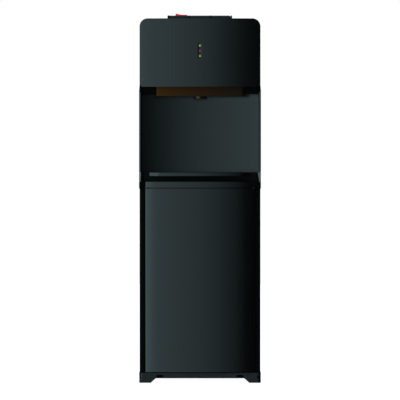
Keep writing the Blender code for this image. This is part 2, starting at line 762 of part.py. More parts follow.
def make_child_lock():
    """Red slider in the hot key's groove, its saddle top rising to a thumb lip."""
    left = -0.0640
    right = -0.0333
    low = LOCK_FLOOR + GAP
    top = 0.9667
    profile = [(left, low), (right, low), (right, top - 0.0006)]
    for step in range(9):
        t = step / 8
        across = right - 0.002 + (left + 0.003 - right + 0.002) * t
        profile.append((across, top + (HEIGHT - 0.0008 - top) * t ** 3))
    profile += [(left + 0.0012, HEIGHT), (left, HEIGHT - 0.0010)]
    body = joint_empty("child_lock_axis", ((left + right) / 2, -0.126, top))
    keep(plate("child_lock", profile, -0.1402, -0.1118, "Y"), LOCK_RED, body)


def make_valves():
    """A tap valve under each key, and the manifold that leads to the nozzle."""
    for index, label in enumerate(KEYS):
        valve = turned(f"{label}_valve", [
            (0.0034, 0.915), (0.008, 0.915), (0.010, 0.908), (0.013, 0.905), (0.013, 0.878),
            (0.007, 0.874), (0.007, 0.8700), (0.0034, 0.8700),
        ], (key_middle(index), STEM_Y, 0), 20)
        keep(valve, NATURAL_PLASTIC)
    manifold = box("outlet_manifold", (-0.063, -0.1415, 0.8540), (0.064, -0.1265, 0.8697))
    join(manifold, round_bar("down_pipe", (KEY_CENTRE_X, STEM_Y, 0.832), 0.006, 0.050, sides=16))
    join(manifold, box("down_elbow", (-0.006, -0.141, 0.7775), (0.006, -0.098, 0.812)))
    keep(manifold, NATURAL_PLASTIC)


# ---------------------------------------------------------------- bottle seat and tanks

def make_bottle_seat(seat_body):
    """Funnel that the bottle stands in, with the spike that opens the bottle's valve."""
    seat = turned("bottle_seat", [
        (0.0870, 0.9562), (SEAT_RADIUS, 0.9562), (SEAT_RADIUS, 0.9540), (0.0905, 0.9540),
        (0.0885, 0.9500), (0.0315, 0.9065), (0.0290, 0.8930), (0.0262, 0.8930),
        (0.0285, 0.9080), (0.0860, 0.9520),
    ], (0, SEAT_Y, 0), 32)
    keep(seat, MATT_BLACK, seat_body)
    probe = turned("bottle_probe", [
        (0.0070, 0.9450), (0.0095, 0.9450), (0.0120, 0.9350), (0.0120, 0.8950), (0.0070, 0.8950),
    ], (0, SEAT_Y, 0), 20)
    spoke = boxes("probe_spokes", [
        ((0.0085, SEAT_Y - 0.002, 0.8955), (0.0259, SEAT_Y + 0.002, 0.9005)),
        ((-0.0259, SEAT_Y - 0.002, 0.8955), (-0.0085, SEAT_Y + 0.002, 0.9005)),
    ])
    join(probe, spoke)
    keep(probe, NATURAL_PLASTIC, seat_body)


def make_cold_side():
    """Cold tank with its evaporator coil, inside an insulating jacket."""
    tank = turned("cold_tank", [
        (0.0, 0.7445), (0.0665, 0.7445), (0.0665, 0.8985), (0.0325, 0.8985), (0.0325, 0.9000),
        (0.0680, 0.9000), (0.0680, 0.7430), (0.0, 0.7430),
    ], (0, SEAT_Y, 0), 32, closed=False)
    keep(tank, BARE_STEEL)
    turns = 3
    per_turn = 22
    coil = []
    for step in range(turns * per_turn + 1):
        angle = 2 * math.pi * step / per_turn
        level = 0.765 + 0.110 * step / (turns * per_turn)
        coil.append((0.0718 * math.cos(angle), SEAT_Y + 0.0718 * math.sin(angle), level))
    keep(tube("evaporator_coil", coil, 0.0028), COPPER)
    jacket = turned("cold_tank_jacket", [
        (0.0120, 0.7420), (0.0758, 0.7420), (0.0758, 0.9020), (0.0895, 0.9020),
        (0.0895, 0.7280), (0.0120, 0.7280),
    ], (0, SEAT_Y, 0), 32)
    keep(jacket, FOAM)


def make_hot_side():
    """Hot tank with its heater band."""
    place = (0, HOT_TANK_Y, 0)
    tank = turned("hot_tank", [
        (0.0, 0.5570), (0.0435, 0.5570), (0.0435, 0.6935), (0.006, 0.6935), (0.006, 0.6950),
        (0.0450, 0.6950), (0.0450, 0.5555), (0.0, 0.5555),
    ], place, 28, closed=False)
    keep(tank, BARE_STEEL)
    band = turned("heater_band", [
        (0.0453, 0.6250), (0.0490, 0.6250), (0.0490, 0.5900), (0.0453, 0.5900),
    ], place, 28)
    keep(band, BRASS)


def make_hoses():
    """Silicone hoses from the tanks to the hot and cold valves."""
    side = key_middle(2) + 0.0135
    hot = smooth_route([
        (-0.0458, HOT_TANK_Y, 0.680), (-0.070, 0.026, 0.684), (-0.104, 0.006, 0.712),
        (-0.110, -0.030, 0.800), (-0.100, -0.090, 0.870), (-0.082, -0.128, 0.888),
        (-side + 0.0004, STEM_Y, 0.890),
    ])
    keep(tube("hot_hose", hot, 0.004), SILICONE)
    cold = smooth_route([
        (0.0, SEAT_Y, 0.7272), (0.008, SEAT_Y - 0.002, 0.718), (0.040, 0.038, 0.710),
        (0.100, 0.010, 0.724), (0.112, -0.030, 0.800), (0.104, -0.090, 0.870),
        (0.084, -0.128, 0.888), (side + 0.0016, STEM_Y, 0.890),
    ])
    keep(tube("cold_hose", cold, 0.004), SILICONE)


# ---------------------------------------------------------------- cooling circuit and rear

def make_compressor():
    """Hermetic compressor on a carrier plate across the base."""
    plate_top = BASE_TOP + GAP + 0.003
    carrier = box("compressor_carrier", (-0.130, 0.045, BASE_TOP + GAP), (0.130, 0.147, plate_top))
    keep(carrier, BARE_STEEL)
    x, y = COMPRESSOR
    can = turned("compressor", [
        (0.0, 0.188), (0.020, 0.186), (0.038, 0.176), (0.047, 0.160), (0.0485, 0.135),
        (0.0485, 0.120), (0.0500, 0.119), (0.0500, 0.112), (0.0485, 0.111), (0.0485, 0.075),
        (0.043, 0.055), (0.030, 0.046), (0.0, 0.044),
    ], (x, y, 0), 24, closed=False)
    join(can, box("compressor_feet", (x - 0.058, y - 0.040, 0.0445), (x + 0.058, y + 0.040, 0.0475)))
    posts = [
        ((x + dx - 0.006, y + dy - 0.006, plate_top + GAP), (x + dx + 0.006, y + dy + 0.006, 0.046))
        for dx in (-0.050, 0.050) for dy in (-0.032, 0.032)
    ]
    join(can, boxes("compressor_posts", posts))
    keep(can, SATIN_BLACK)
    relay = box("compressor_relay", (x - 0.075, y - 0.016, 0.080), (x - 0.0510, y + 0.016, 0.125))
    keep(relay, MATT_BLACK)


def condenser_route():
    """Serpentine of level runs joined by half-round bends, bottom to top."""
    runs = 12
    pitch = (CONDENSER_HIGH - CONDENSER_LOW) / (runs - 1)
    half = 0.112
    route = []
    for run in range(runs):
        level = CONDENSER_LOW + pitch * run
        side = 1 if run % 2 == 0 else -1
        route.append((side * half, CONDENSER_Y, level))
        route.append((-side * half, CONDENSER_Y, level))
        if run < runs - 1:
            for angle in (45, 90, 135):
                swing = math.radians(angle)
                route.append((
                    -side * (half + pitch / 2 * math.sin(swing)),
                    CONDENSER_Y,
                    level + pitch / 2 * (1 - math.cos(swing)),
                ))
    return route


def make_refrigerant_circuit():
    """Condenser on the back, with the pipes that link it to the compressor."""
    keep(tube("condenser_coil", condenser_route(), PIPE_RADIUS), BLACK_STEEL)
    x, y = COMPRESSOR
    discharge = smooth_route([
        (x + 0.0492, y, 0.150), (0.080, y, 0.152), (0.105, 0.112, 0.165),
        (0.120, 0.140, 0.185), (0.1225, 0.160, 0.205),
        (0.1150, CONDENSER_Y, CONDENSER_LOW - 0.0075),
    ])
    keep(tube("discharge_pipe", discharge, PIPE_RADIUS), COPPER)
    suction = smooth_route([
        (x - 0.0492, y, 0.150), (-0.075, y, 0.156), (-0.092, 0.110, 0.200),
        (-0.095, 0.118, 0.400), (-0.092, 0.110, 0.620), (-0.070, 0.080, 0.700),
        (-0.060, 0.070, 0.7252),
    ])
    keep(tube("suction_pipe", suction, 0.003), COPPER)


def rocker_profile(tilt):
    """Side outline of a rocker about its pivot, tipped by an angle in degrees."""
    ridge = [(0.0040, 0.0), (0.0048, 0.0088), (-0.0030, 0.0070), (-0.0030, -0.0070), (0.0048, -0.0088)]
    angle = math.radians(tilt)
    return [
        (
            ROCKER_Y + out * math.cos(angle) - up * math.sin(angle),
            SWITCH_Z + out * math.sin(angle) + up * math.cos(angle),
        )
        for out, up in ridge
    ]


def make_rear_fittings():
    """Switch plate with two rockers, the cord inlet bush, and the drain with its cap."""
    low = (SWITCH_X - 0.034, BACK_Y + GAP, SWITCH_Z - 0.016)
    high = (SWITCH_X + 0.034, BACK_Y + 0.0040, SWITCH_Z + 0.016)
    frame = box("switch_plate", low, high)
    for offset, label in ((-0.014, "hot"), (0.014, "cold")):
        middle = SWITCH_X + offset
        cut(frame, box(
            f"{label}_rocker_opening",
            (middle - 0.0108, BACK_Y - 0.01, SWITCH_Z - 0.0106),
            (middle + 0.0108, BACK_Y + 0.01, SWITCH_Z + 0.0106),
        ))
        body = joint_empty(f"{label}_rocker_axis", (middle, ROCKER_Y, SWITCH_Z))
        rocker = plate(
            f"{label}_rocker", rocker_profile(-ROCKER_TILT), middle - 0.0104, middle + 0.0104, "X"
        )
        keep(rocker, LOCK_RED if label == "hot" else LAMP_GREEN, body)
    keep(frame, MATT_BLACK)
    bush = turned("cord_inlet", [
        (0.0042, -0.003), (0.0080, -0.003), (0.0080, GAP), (0.0110, GAP), (0.0110, 0.0040),
        (0.0070, 0.0075), (0.0042, 0.0075),
    ], (SWITCH_X, BACK_Y, INLET_Z), 24, facing="Y")
    bush.modifiers["turn"].use_normal_flip = True
    keep(bush, RUBBER)
    drain = smooth_route([
        (0.0, HOT_TANK_Y, 0.5545), (0.0, HOT_TANK_Y, 0.5510), (0.0, HOT_TANK_Y, 0.5475),
        (0.012, 0.038, 0.5400), (0.045, 0.062, DRAIN_Z),
        (0.110, 0.110, DRAIN_Z), (DRAIN_X, 0.135, DRAIN_Z), (DRAIN_X, 0.150, DRAIN_Z),
        (DRAIN_X, 0.160, DRAIN_Z),
    ])
    keep(tube("drain_pipe", drain, 0.005), SILICONE)
    plug_body = joint_empty("drain_cap_axis", (DRAIN_X, 0.165, DRAIN_Z))
    cap = turned("drain_cap", [
        (0.0, 0.1603), (0.0054, 0.1603), (0.0054, 0.1520), (0.0085, 0.1520), (0.0085, 0.1630),
        (0.0070, 0.1645), (0.0, 0.1645),
    ], (DRAIN_X, 0, DRAIN_Z), 20, closed=False, facing="Y")
    cap.modifiers["turn"].use_normal_flip = True
    keep(cap, MATT_BLACK, plug_body)


# ---------------------------------------------------------------- assembly

# Rear and internal positions
PIPE_RADIUS = 0.0025
CONDENSER_Y = REAR_Y - PIPE_RADIUS
CONDENSER_LOW = 0.240
CONDENSER_HIGH = 0.640
COMPRESSOR = (0.010, 0.096)
HOT_TANK_Y = 0.030
SWITCH_X = -0.085
SWITCH_Z = 0.720
INLET_Z = 0.680
ROCKER_Y = BACK_Y + 0.0025
ROCKER_TILT = 9.0
DRAIN_X = 0.132
DRAIN_Z = 0.545
KEYS_LEFT = -0.0855
KEYS_RIGHT = 0.0845
KEYS_BACK_Y = -0.0945
WALL_TOP = 0.9637
LOCK_FLOOR = 0.9617

clear_scene()
PARTS = new_collection("water_dispenser")
CUTTERS = new_collection("cutters")

GLOSS_BLACK = material("gloss_black", (0.018, 0.022, 0.023), 0.12)
SATIN_BLACK = material("satin_black", (0.030, 0.034, 0.035), 0.38)
MATT_BLACK = material("matt_black", (0.035, 0.040, 0.041), 0.62)
BLACK_STEEL = material("black_steel", (0.016, 0.018, 0.019), 0.30, 0.2)
SMOKED_COPPER = material("smoked_copper", (0.120, 0.065, 0.022), 0.22)
LOCK_RED = material("lock_red", (0.560, 0.010, 0.030), 0.30)
LAMP_AMBER = material("lamp_amber", (0.420, 0.400, 0.120), 0.20)
LAMP_RED = material("lamp_red", (0.420, 0.030, 0.080), 0.20)
LAMP_GREEN = material("lamp_green", (0.150, 0.380, 0.060), 0.20)
LINER_GREY = material("liner_grey", (0.420, 0.430, 0.430), 0.45)
RUBBER = material("rubber", (0.030, 0.030, 0.030), 0.80)
BARE_STEEL = material("bare_steel", (0.560, 0.570, 0.580), 0.32, 1.0)
NATURAL_PLASTIC = material("natural_plastic", (0.700, 0.700, 0.660), 0.40)
COPPER = material("copper", (0.720, 0.330, 0.190), 0.30, 1.0)
BRASS = material("brass", (0.700, 0.550, 0.250), 0.35, 1.0)
FOAM = material("foam", (0.780, 0.770, 0.700), 0.90)
SILICONE = material("silicone", (0.720, 0.740, 0.740), 0.35)

make_base()
make_side_panels()
make_back_panel()
make_top_cover()
make_front_panel()
make_lamps()
make_niche_shell()
make_nozzle()
make_tray_housing()
make_drip_tray(joint_empty("drip_tray_axis", (0.0, DOOR_MID_Y, LIP_BOTTOM)))
make_cabinet()
make_door(joint_empty("door_hinge_axis", (HINGE_X, HINGE_Y, 0.269)))
make_door_fittings()
make_keys()
make_child_lock()
make_valves()
make_bottle_seat(joint_empty("bottle_seat_axis", (0.0, SEAT_Y, 0.9562)))
make_cold_side()
make_hot_side()
make_hoses()
make_compressor()
make_refrigerant_circuit()
make_rear_fittings()
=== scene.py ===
import math

import bmesh
import bpy
from mathutils import Matrix, Vector


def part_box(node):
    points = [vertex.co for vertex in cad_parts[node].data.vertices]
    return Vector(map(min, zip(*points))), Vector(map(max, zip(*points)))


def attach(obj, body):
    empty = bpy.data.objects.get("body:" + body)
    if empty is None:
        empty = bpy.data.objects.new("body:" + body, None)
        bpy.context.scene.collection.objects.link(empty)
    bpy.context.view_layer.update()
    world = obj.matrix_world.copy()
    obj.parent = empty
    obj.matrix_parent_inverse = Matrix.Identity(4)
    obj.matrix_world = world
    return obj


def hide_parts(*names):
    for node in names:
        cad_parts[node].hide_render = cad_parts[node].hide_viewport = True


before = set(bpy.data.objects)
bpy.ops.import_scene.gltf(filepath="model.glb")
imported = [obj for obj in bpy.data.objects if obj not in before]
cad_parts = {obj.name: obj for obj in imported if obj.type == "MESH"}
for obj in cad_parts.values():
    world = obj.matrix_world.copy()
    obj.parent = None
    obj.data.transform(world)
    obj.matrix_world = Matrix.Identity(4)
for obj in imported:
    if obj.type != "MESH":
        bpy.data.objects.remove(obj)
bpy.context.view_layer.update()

# Looks of a floor-standing bottled-water dispenser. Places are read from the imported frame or
# given in its coordinates: metres, +Z up, the front faces -Y.

GAP = 0.0003
SIDES = ((-1, "left"), (1, "right"))
KEY_LABELS = ("hot", "normal", "cold")
scene = bpy.context.scene


# ---------------------------------------------------------------- node trees

class Tree:
    """Short calls that build a node tree."""

    def __init__(self, tree):
        self.nodes = tree.nodes
        self.links = tree.links

    def fill(self, sockets, values):
        """Set input sockets by name, or feed them where the value is another node's output."""
        for name, value in values.items():
            if isinstance(value, bpy.types.NodeSocket):
                self.links.new(value, sockets[name])
            else:
                sockets[name].default_value = value

    def add(self, kind, values=(), output=0, **settings):
        """Add a node with its settings and inputs, and hand back one of its outputs."""
        node = self.nodes.new(kind)
        for name, value in settings.items():
            setattr(node, name, value)
        self.fill(node.inputs, dict(values))
        return node.outputs[output] if node.outputs else node

    def axes(self, vector):
        return self.add("ShaderNodeSeparateXYZ", {0: vector}).node.outputs

    def maths(self, operation, first, second):
        return self.add("ShaderNodeMath", {0: first, 1: second}, operation=operation)

    def remap(self, value, low, high, to_low=0.0, to_high=1.0):
        return self.add("ShaderNodeMapRange", {
            "Value": value, "From Min": low, "From Max": high, "To Min": to_low, "To Max": to_high,
        })

    def blend(self, share, first, second, way="MIX"):
        """Mix two colours, each a tuple of three or an output."""
        first, second = [
            (*colour, 1.0) if isinstance(colour, tuple) else colour for colour in (first, second)
        ]
        return self.add("ShaderNodeMix", {"Factor": share, 6: first, 7: second}, 2,
                        data_type="RGBA", blend_type=way)

    def ramp(self, value, stops):
        """Grey levels at the given places of a value."""
        colour = self.add("ShaderNodeValToRGB", {"Fac": value})
        elements = colour.node.color_ramp.elements
        while len(elements) > 1:
            elements.remove(elements[-1])
        elements[0].position = stops[0][0]
        elements[0].color = (*[stops[0][1]] * 3, 1.0)
        for place, level in stops[1:]:
            elements.new(place).color = (level, level, level, 1.0)
        return colour


class Surface(Tree):
    """A node material in object space."""

    def __init__(self, name, **values):
        self.material = bpy.data.materials.new(name)
        self.material.use_nodes = True
        super().__init__(self.material.node_tree)
        self.place = self.add("ShaderNodeTexCoord", output="Object")
        self.set(**values)

    def set(self, **values):
        """Set or feed the shader's own sockets."""
        named = {name.replace("_", " "): value for name, value in values.items()}
        self.fill(self.nodes["Principled BSDF"].inputs, named)

    def stretched(self, scale):
        """Object coordinates scaled by a different amount along each axis."""
        return self.add("ShaderNodeMapping", {"Vector": self.place, "Scale": scale})

    def noise(self, scale, detail=3.0, vector=None, roughness=0.5):
        return self.add("ShaderNodeTexNoise", {
            "Vector": vector or self.place, "Scale": scale, "Detail": detail,
            "Roughness": roughness,
        }, "Fac")

    def painted_bloom(self, most):
        """A painted bloom of light along the top of the niche, fading out to its left and below."""
        across, _, up = self.axes(self.place)
        return self.maths("MULTIPLY", self.remap(up, 0.738, 0.747, 0.0, most),
                          self.remap(across, -0.11, 0.15))

    def worn_edges(self, most):
        """Up to the given most along outer edges, in patches, and 0 on open faces."""
        rounded = self.add("ShaderNodeBevel", {"Radius": 0.0008}, samples=4)
        plain = self.add("ShaderNodeNewGeometry", output="Normal")
        alike = self.add("ShaderNodeVectorMath", {0: rounded, 1: plain}, "Value",
                         operation="DOT_PRODUCT")
        patches = self.remap(self.noise(90.0, 4.0), 0.40, 0.62)
        edge = self.remap(alike, 0.97, 0.80)
        return self.remap(self.maths("MULTIPLY", edge, patches), 0.0, 1.0, 0.0, most)

    def bump(self, height, distance, **before):
        normal = self.add("ShaderNodeBump", {
            "Height": height, "Distance": distance, "Strength": 1.0, **before,
        })
        self.set(Normal=normal)
        return normal


# ---------------------------------------------------------------- studio

# Brightness of the surroundings by bearing, in degrees: 0 is straight in front of the
# object, positive is towards its right.
BEARING_LIGHT = [
    (-180, 0.25), (-160, 0.16), (-140, 0.28), (-122, 0.92), (-106, 0.95), (-70, 0.92),
    (-35, 1.02), (-20, 1.00), (-16.1, 0.78), (-13.3, 0.58), (-8.5, 0.54), (-1.9, 0.42),
    (2.8, 0.31), (6.6, 0.165), (10.4, 0.050), (13.3, 0.010), (21, 0.004), (81, 0.006),
    (87, 0.08), (93, 0.08), (98, 0.10), (106, 0.22), (118, 0.44), (130, 0.34), (145, 0.20),
    (180, 0.25),
]
# The same by the upward part of the direction: 1 is wholly the ceiling's light.
CEILING_SHARE = [(0.0, 0.0), (0.34, 0.0), (0.60, 0.90), (1.0, 1.0)]
LIGHT_STRENGTH = 1.7
WHITE = (1.0, 1.0, 1.0, 1.0)


def place_camera():
    """Straight-on view from far away, level with the middle of the object."""
    field = 1.05
    distance = 12.0
    data = bpy.data.cameras.new("camera")
    data.sensor_width = 36.0
    data.lens = data.sensor_width * distance / field
    data.clip_end = 50.0
    camera = bpy.data.objects.new("camera", data)
    camera.location = (0.0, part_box("niche_shell")[0][1] - distance, 0.480)
    camera.rotation_euler = (math.pi / 2, 0.0, 0.0)
    scene.collection.objects.link(camera)
    scene.camera = camera


def light_world():
    """White backdrop, with a softbox on the front left fading to a dark flag on the right."""
    world = bpy.data.worlds.new("studio")
    world.use_nodes = True
    scene.world = world
    world.node_tree.nodes.clear()
    tree = Tree(world.node_tree)
    across, along, up = tree.axes(tree.add("ShaderNodeTexCoord", output="Generated"))
    bearing = tree.maths("ARCTAN2", across, tree.maths("MULTIPLY", along, -1.0))
    around = tree.ramp(tree.remap(bearing, -math.pi, math.pi),
                       [((degrees + 180) / 360, level) for degrees, level in BEARING_LIGHT])
    ceiling = tree.blend(tree.remap(along, -0.45, 0.35), (0.04, 0.04, 0.04), (0.62, 0.66, 0.68))
    overhead = tree.blend(tree.ramp(up, CEILING_SHARE), around, ceiling)
    tinted = tree.blend(1.0, overhead, (0.71, 1.0, 1.06), "MULTIPLY")
    lit = tree.add("ShaderNodeBackground", {"Color": tinted, "Strength": LIGHT_STRENGTH})
    backdrop = tree.add("ShaderNodeBackground", {"Color": WHITE})
    camera_ray = tree.add("ShaderNodeLightPath", output="Is Camera Ray")
    chosen = tree.add("ShaderNodeMixShader", {0: camera_ray, 1: lit, 2: backdrop})
    tree.add("ShaderNodeOutputWorld", {"Surface": chosen})


def add_floor():
    """A plain pale floor that barely darkens where the feet stand."""
    mesh = bpy.data.meshes.new("floor")
    shape = bmesh.new()
    bmesh.ops.create_circle(shape, cap_ends=True, segments=96, radius=14.0)
    shape.to_mesh(mesh)
    shape.free()
    floor = bpy.data.objects.new("floor", mesh)
    floor.location = (0.0, 0.0, -0.0002)
    scene.collection.objects.link(floor)
    pale = Surface("pale_floor", Base_Color=(0.45, 0.45, 0.45, 1.0), Roughness=0.9,
                   Specular_IOR_Level=0.0, Emission_Color=WHITE, Emission_Strength=0.97)
    mesh.materials.append(pale.material)
    floor.visible_glossy = False


def add_key_light():
    """A big soft lamp from the upper front left, kept out of the reflections."""
    data = bpy.data.lights.new("key", "AREA")
    data.shape = "RECTANGLE"
    data.size = 2.4
    data.size_y = 2.4
    data.energy = 60.0
    light = bpy.data.objects.new("key", data)
    light.location = (-2.2, -3.0, 3.0)
    aim = Vector((0.0, 0.0, 0.5)) - light.location
    light.rotation_euler = aim.to_track_quat("-Z", "Y").to_euler()
    light.visible_glossy = False
    scene.collection.objects.link(light)


scene.view_settings.view_transform = "Standard"
place_camera()
light_world()
add_floor()
add_key_light()


# ---------------------------------------------------------------- materials

STRIP_LOW, STRIP_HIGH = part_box("nozzle_cover")


def plastic(name, colour, lighter, roughness, uneven, ripple, ripple_scale, wear, grain=0.0,
            specular=0.5, painted_bloom=0.0, shine=(1.0, 1.0, 1.0)):
    """Moulded plastic or paint: tone drift, uneven gloss, fine surface ripple, worn edges, and,
    where asked, a painted bloom of light.
    """
    made = Surface(name, Specular_IOR_Level=specular, Specular_Tint=(*shine, 1.0))
    tone = made.blend(made.noise(7.0, 2.0), colour, lighter)
    # Painted light: a pale grey blended into the tone near the niche's top.
    if painted_bloom:
        tone = made.blend(made.painted_bloom(painted_bloom), tone, (0.10, 0.122, 0.128))
    edges = made.worn_edges(wear)
    rubbed = tuple(min(1.0, part * 2.2 + 0.015) for part in lighter)
    handled = made.maths("MULTIPLY", made.noise(16.0, 5.0, roughness=0.6), 0.75)
    fine = made.maths("MULTIPLY", made.noise(210.0, 2.0), 0.25)
    gloss = made.remap(made.maths("ADD", handled, fine), 0.30, 0.70,
                       roughness - uneven, roughness + uneven)
    made.set(Base_Color=made.blend(edges, tone, rubbed),
             Roughness=made.maths("ADD", gloss, made.maths("MULTIPLY", edges, 0.25)))
    normal = made.bump(made.noise(ripple_scale, 2.0), ripple)
    if grain:
        cells = made.add("ShaderNodeTexVoronoi", {"Vector": made.place, "Scale": 2600.0},
                         "Distance")
        made.bump(cells, grain, Normal=normal)
    return made.material


def brushed(name, colour, darker, roughness, along):
    """Drawn or brushed metal with fine lines along one axis."""
    made = Surface(name, Metallic=1.0)
    scale = tuple(6.0 if axis == along else 900.0 for axis in "XYZ")
    lines = made.noise(1.0, 3.0, made.stretched(scale))
    stain = made.remap(made.noise(22.0, 4.0), 0.35, 0.70)
    made.set(Base_Color=made.blend(stain, colour, darker),
             Roughness=made.remap(lines, 0.3, 0.7, roughness - 0.07, roughness + 0.10))
    made.bump(lines, 0.00003)
    return made.material


def smoked_copper():
    """Tinted strip with fine flow marks, its colour darkening from the left end to the right as
    painted light.
    """
    made = Surface("smoked_copper", Specular_IOR_Level=0.03)
    # Painted light: the strip barely reflects, so its base colour carries the fall of light from the
    # bright left to the dark right; the tint itself is the strip's own.
    reach = made.remap(made.axes(made.place)[0], STRIP_LOW.x, STRIP_HIGH.x)
    depth = made.maths("POWER", reach, 0.7)
    painted_falloff_tone = made.blend(depth, (0.0350, 0.0148, 0.0028), (0.0084, 0.0051, 0.0030))
    painted_falloff_flow_tone = made.blend(depth, (0.0318, 0.0133, 0.0025), (0.0074, 0.0045, 0.0027))
    flow = made.noise(1.0, 3.0, made.stretched((5.0, 60.0, 160.0)))
    made.set(Base_Color=made.blend(flow, painted_falloff_tone, painted_falloff_flow_tone),
             Roughness=made.remap(made.noise(30.0), 0.3, 0.7, 0.24, 0.34))
    made.bump(made.noise(900.0, 2.0), 0.00001)
    return made.material


def lamp(name, colour, glow):
    """Diffuse indicator lens with a weak glow, lightly frosted."""
    made = Surface(name, Emission_Strength=glow, Specular_IOR_Level=0.2, Coat_Weight=0.1)
    frost = made.noise(900.0, 2.0)
    tone = made.blend(frost, tuple(part * 0.72 for part in colour), colour)
    made.set(Base_Color=tone, Emission_Color=tone,
             Roughness=made.remap(frost, 0.3, 0.7, 0.22, 0.42))
    made.bump(frost, 0.00003)
    return made.material


GLOSSY = ((0.0008, 0.0010, 0.0010), (0.0016, 0.0019, 0.0020), 0.145, 0.020, 0.000012, 260.0, 0.06)
GLOSS = plastic("gloss_black", *GLOSSY)
# The niche's gloss black carries a painted bloom of light near its top.
NICHE_GLOSS_PAINTED_BLOOM = plastic("niche_gloss_painted_bloom", *GLOSSY, painted_bloom=0.09)
# Painted shade: near-black with no reflection at all, for faces that should read as lying in shade.
PAINTED_SHADE = plastic("painted_shade_black", (0.0016, 0.0019, 0.0020), (0.0024, 0.0028, 0.0029),
                 0.50, 0.06, 0.00003, 420.0, 0.0, 0.00003, specular=0.0)
# Painted shade: no reflection, a little lighter than the near-black above, for the drip tray's front
# lying in shadow under its lip.
TRAY_PAINTED_SHADE = plastic("tray_painted_shade", (0.0028, 0.0033, 0.0035), (0.0043, 0.0050, 0.0052),
                     0.50, 0.06, 0.00003, 420.0, 0.0, 0.00003, specular=0.0)
GLINT = plastic("cheek_gloss", (0.0010, 0.0012, 0.0012), (0.0018, 0.0022, 0.0023),
                0.16, 0.02, 0.00001, 260.0, 0.05, specular=1.0)
SATIN = plastic("satin_black", (0.010, 0.012, 0.0125), (0.015, 0.018, 0.0185),
                0.36, 0.06, 0.00002, 420.0, 0.25, 0.00002)
MATT = plastic("matt_black", (0.012, 0.0145, 0.015), (0.018, 0.021, 0.022),
               0.56, 0.07, 0.00004, 520.0, 0.30, 0.00006)
STEEL_BLACK = plastic("black_steel", (0.0125, 0.0145, 0.0150), (0.0170, 0.0195, 0.0202),
                      0.30, 0.05, 0.00003, 330.0, 0.20, 0.00002)
NOZZLE_PLASTIC = plastic("nozzle_brown", (0.0050, 0.0036, 0.0018), (0.0080, 0.0058, 0.0030),
                         0.22, 0.03, 0.00002, 500.0, 0.05, shine=(1.0, 0.62, 0.36))
RED = plastic("lock_red", (0.74, 0.001, 0.012), (0.84, 0.003, 0.019),
              0.34, 0.05, 0.00002, 300.0, 0.0, specular=0.12)
GREEN = plastic("rocker_green", (0.03, 0.20, 0.04), (0.05, 0.27, 0.06),
                0.28, 0.05, 0.00002, 300.0, 0.15)
LINER = plastic("liner_grey", (0.36, 0.37, 0.37), (0.43, 0.44, 0.44),
                0.42, 0.06, 0.00004, 380.0, 0.08, 0.00003)
NATURAL = plastic("natural_plastic", (0.62, 0.62, 0.57), (0.72, 0.72, 0.68),
                  0.38, 0.06, 0.00002, 350.0, 0.08)
RUBBER = plastic("rubber", (0.014, 0.014, 0.014), (0.026, 0.026, 0.026),
                 0.78, 0.08, 0.00005, 600.0, 0.20, 0.00004)
FOAM = plastic("foam", (0.66, 0.64, 0.54), (0.80, 0.78, 0.70),
               0.90, 0.05, 0.00030, 260.0, 0.0, 0.00018)
SILICONE = plastic("silicone", (0.60, 0.63, 0.63), (0.74, 0.76, 0.76),
                   0.34, 0.06, 0.00003, 300.0, 0.0)
BASE_PLASTIC = plastic("base_black", (0.0042, 0.0054, 0.0056), (0.0070, 0.0088, 0.0091),
                       0.50, 0.07, 0.00004, 520.0, 0.22, 0.00006, specular=0.28)
KEY_PLASTIC = plastic("key_black", (0.0040, 0.0050, 0.0052), (0.0070, 0.0086, 0.0088),
                      0.34, 0.05, 0.00002, 420.0, 0.22, 0.00002, specular=0.42)
STEEL = brushed("bare_steel", (0.56, 0.57, 0.58), (0.40, 0.41, 0.42), 0.30, "Z")
STEEL_FLAT = brushed("flat_steel", (0.54, 0.55, 0.56), (0.38, 0.39, 0.40), 0.34, "X")
COPPER = brushed("copper", (0.72, 0.33, 0.19), (0.44, 0.18, 0.10), 0.28, "Z")
BRASS = brushed("brass", (0.66, 0.52, 0.24), (0.46, 0.34, 0.15), 0.34, "X")
SMOKED = smoked_copper()
LAMP_AMBER = lamp("lamp_amber", (0.220, 0.250, 0.074), 0.40)
LAMP_RED = lamp("lamp_red", (0.195, 0.012, 0.066), 0.38)
LAMP_GREEN = lamp("lamp_green", (0.140, 0.240, 0.024), 0.48)


# ---------------------------------------------------------------- outlines

def spread(low, high, count):
    """Evenly spaced values between two ends, without the ends."""
    return [low + (high - low) * step / count for step in range(1, count)]


def arc(centre, radius, start, end, steps=12):
    """Points on an arc, angles in degrees."""
    turns = [math.radians(start + (end - start) * step / steps) for step in range(steps + 1)]
    return [(centre[0] + radius * math.cos(turn), centre[1] + radius * math.sin(turn))
            for turn in turns]


def rounded(left, right, bottom, top, low_radius, high_radius, steps):
    """A rectangle with one radius at its two low corners and one at its two high ones."""
    low = bottom + low_radius
    high = top - high_radius
    return (
        arc((right - low_radius, low), low_radius, -90, 0, steps)
        + arc((right - high_radius, high), high_radius, 0, 90, steps)
        + arc((left + high_radius, high), high_radius, 90, 180, steps)
        + arc((left + low_radius, low), low_radius, 180, 270, steps)
    )


def slot_outline(left, right, bottom, top, radius, steps):
    return rounded(left, right, bottom, top, radius, radius, steps)


def dome(radius, base, rise, step):
    """A quarter of an ellipse from a rim to the axis, as radius and height."""
    return [(radius * math.cos(math.radians(turn)), base + rise * math.sin(math.radians(turn)))
            for turn in range(0, 91, step)]


def mirrored(half_outline):
    """Half an outline and its mirror image across the middle plane."""
    return half_outline + [(-across, along) for across, along in reversed(half_outline)]


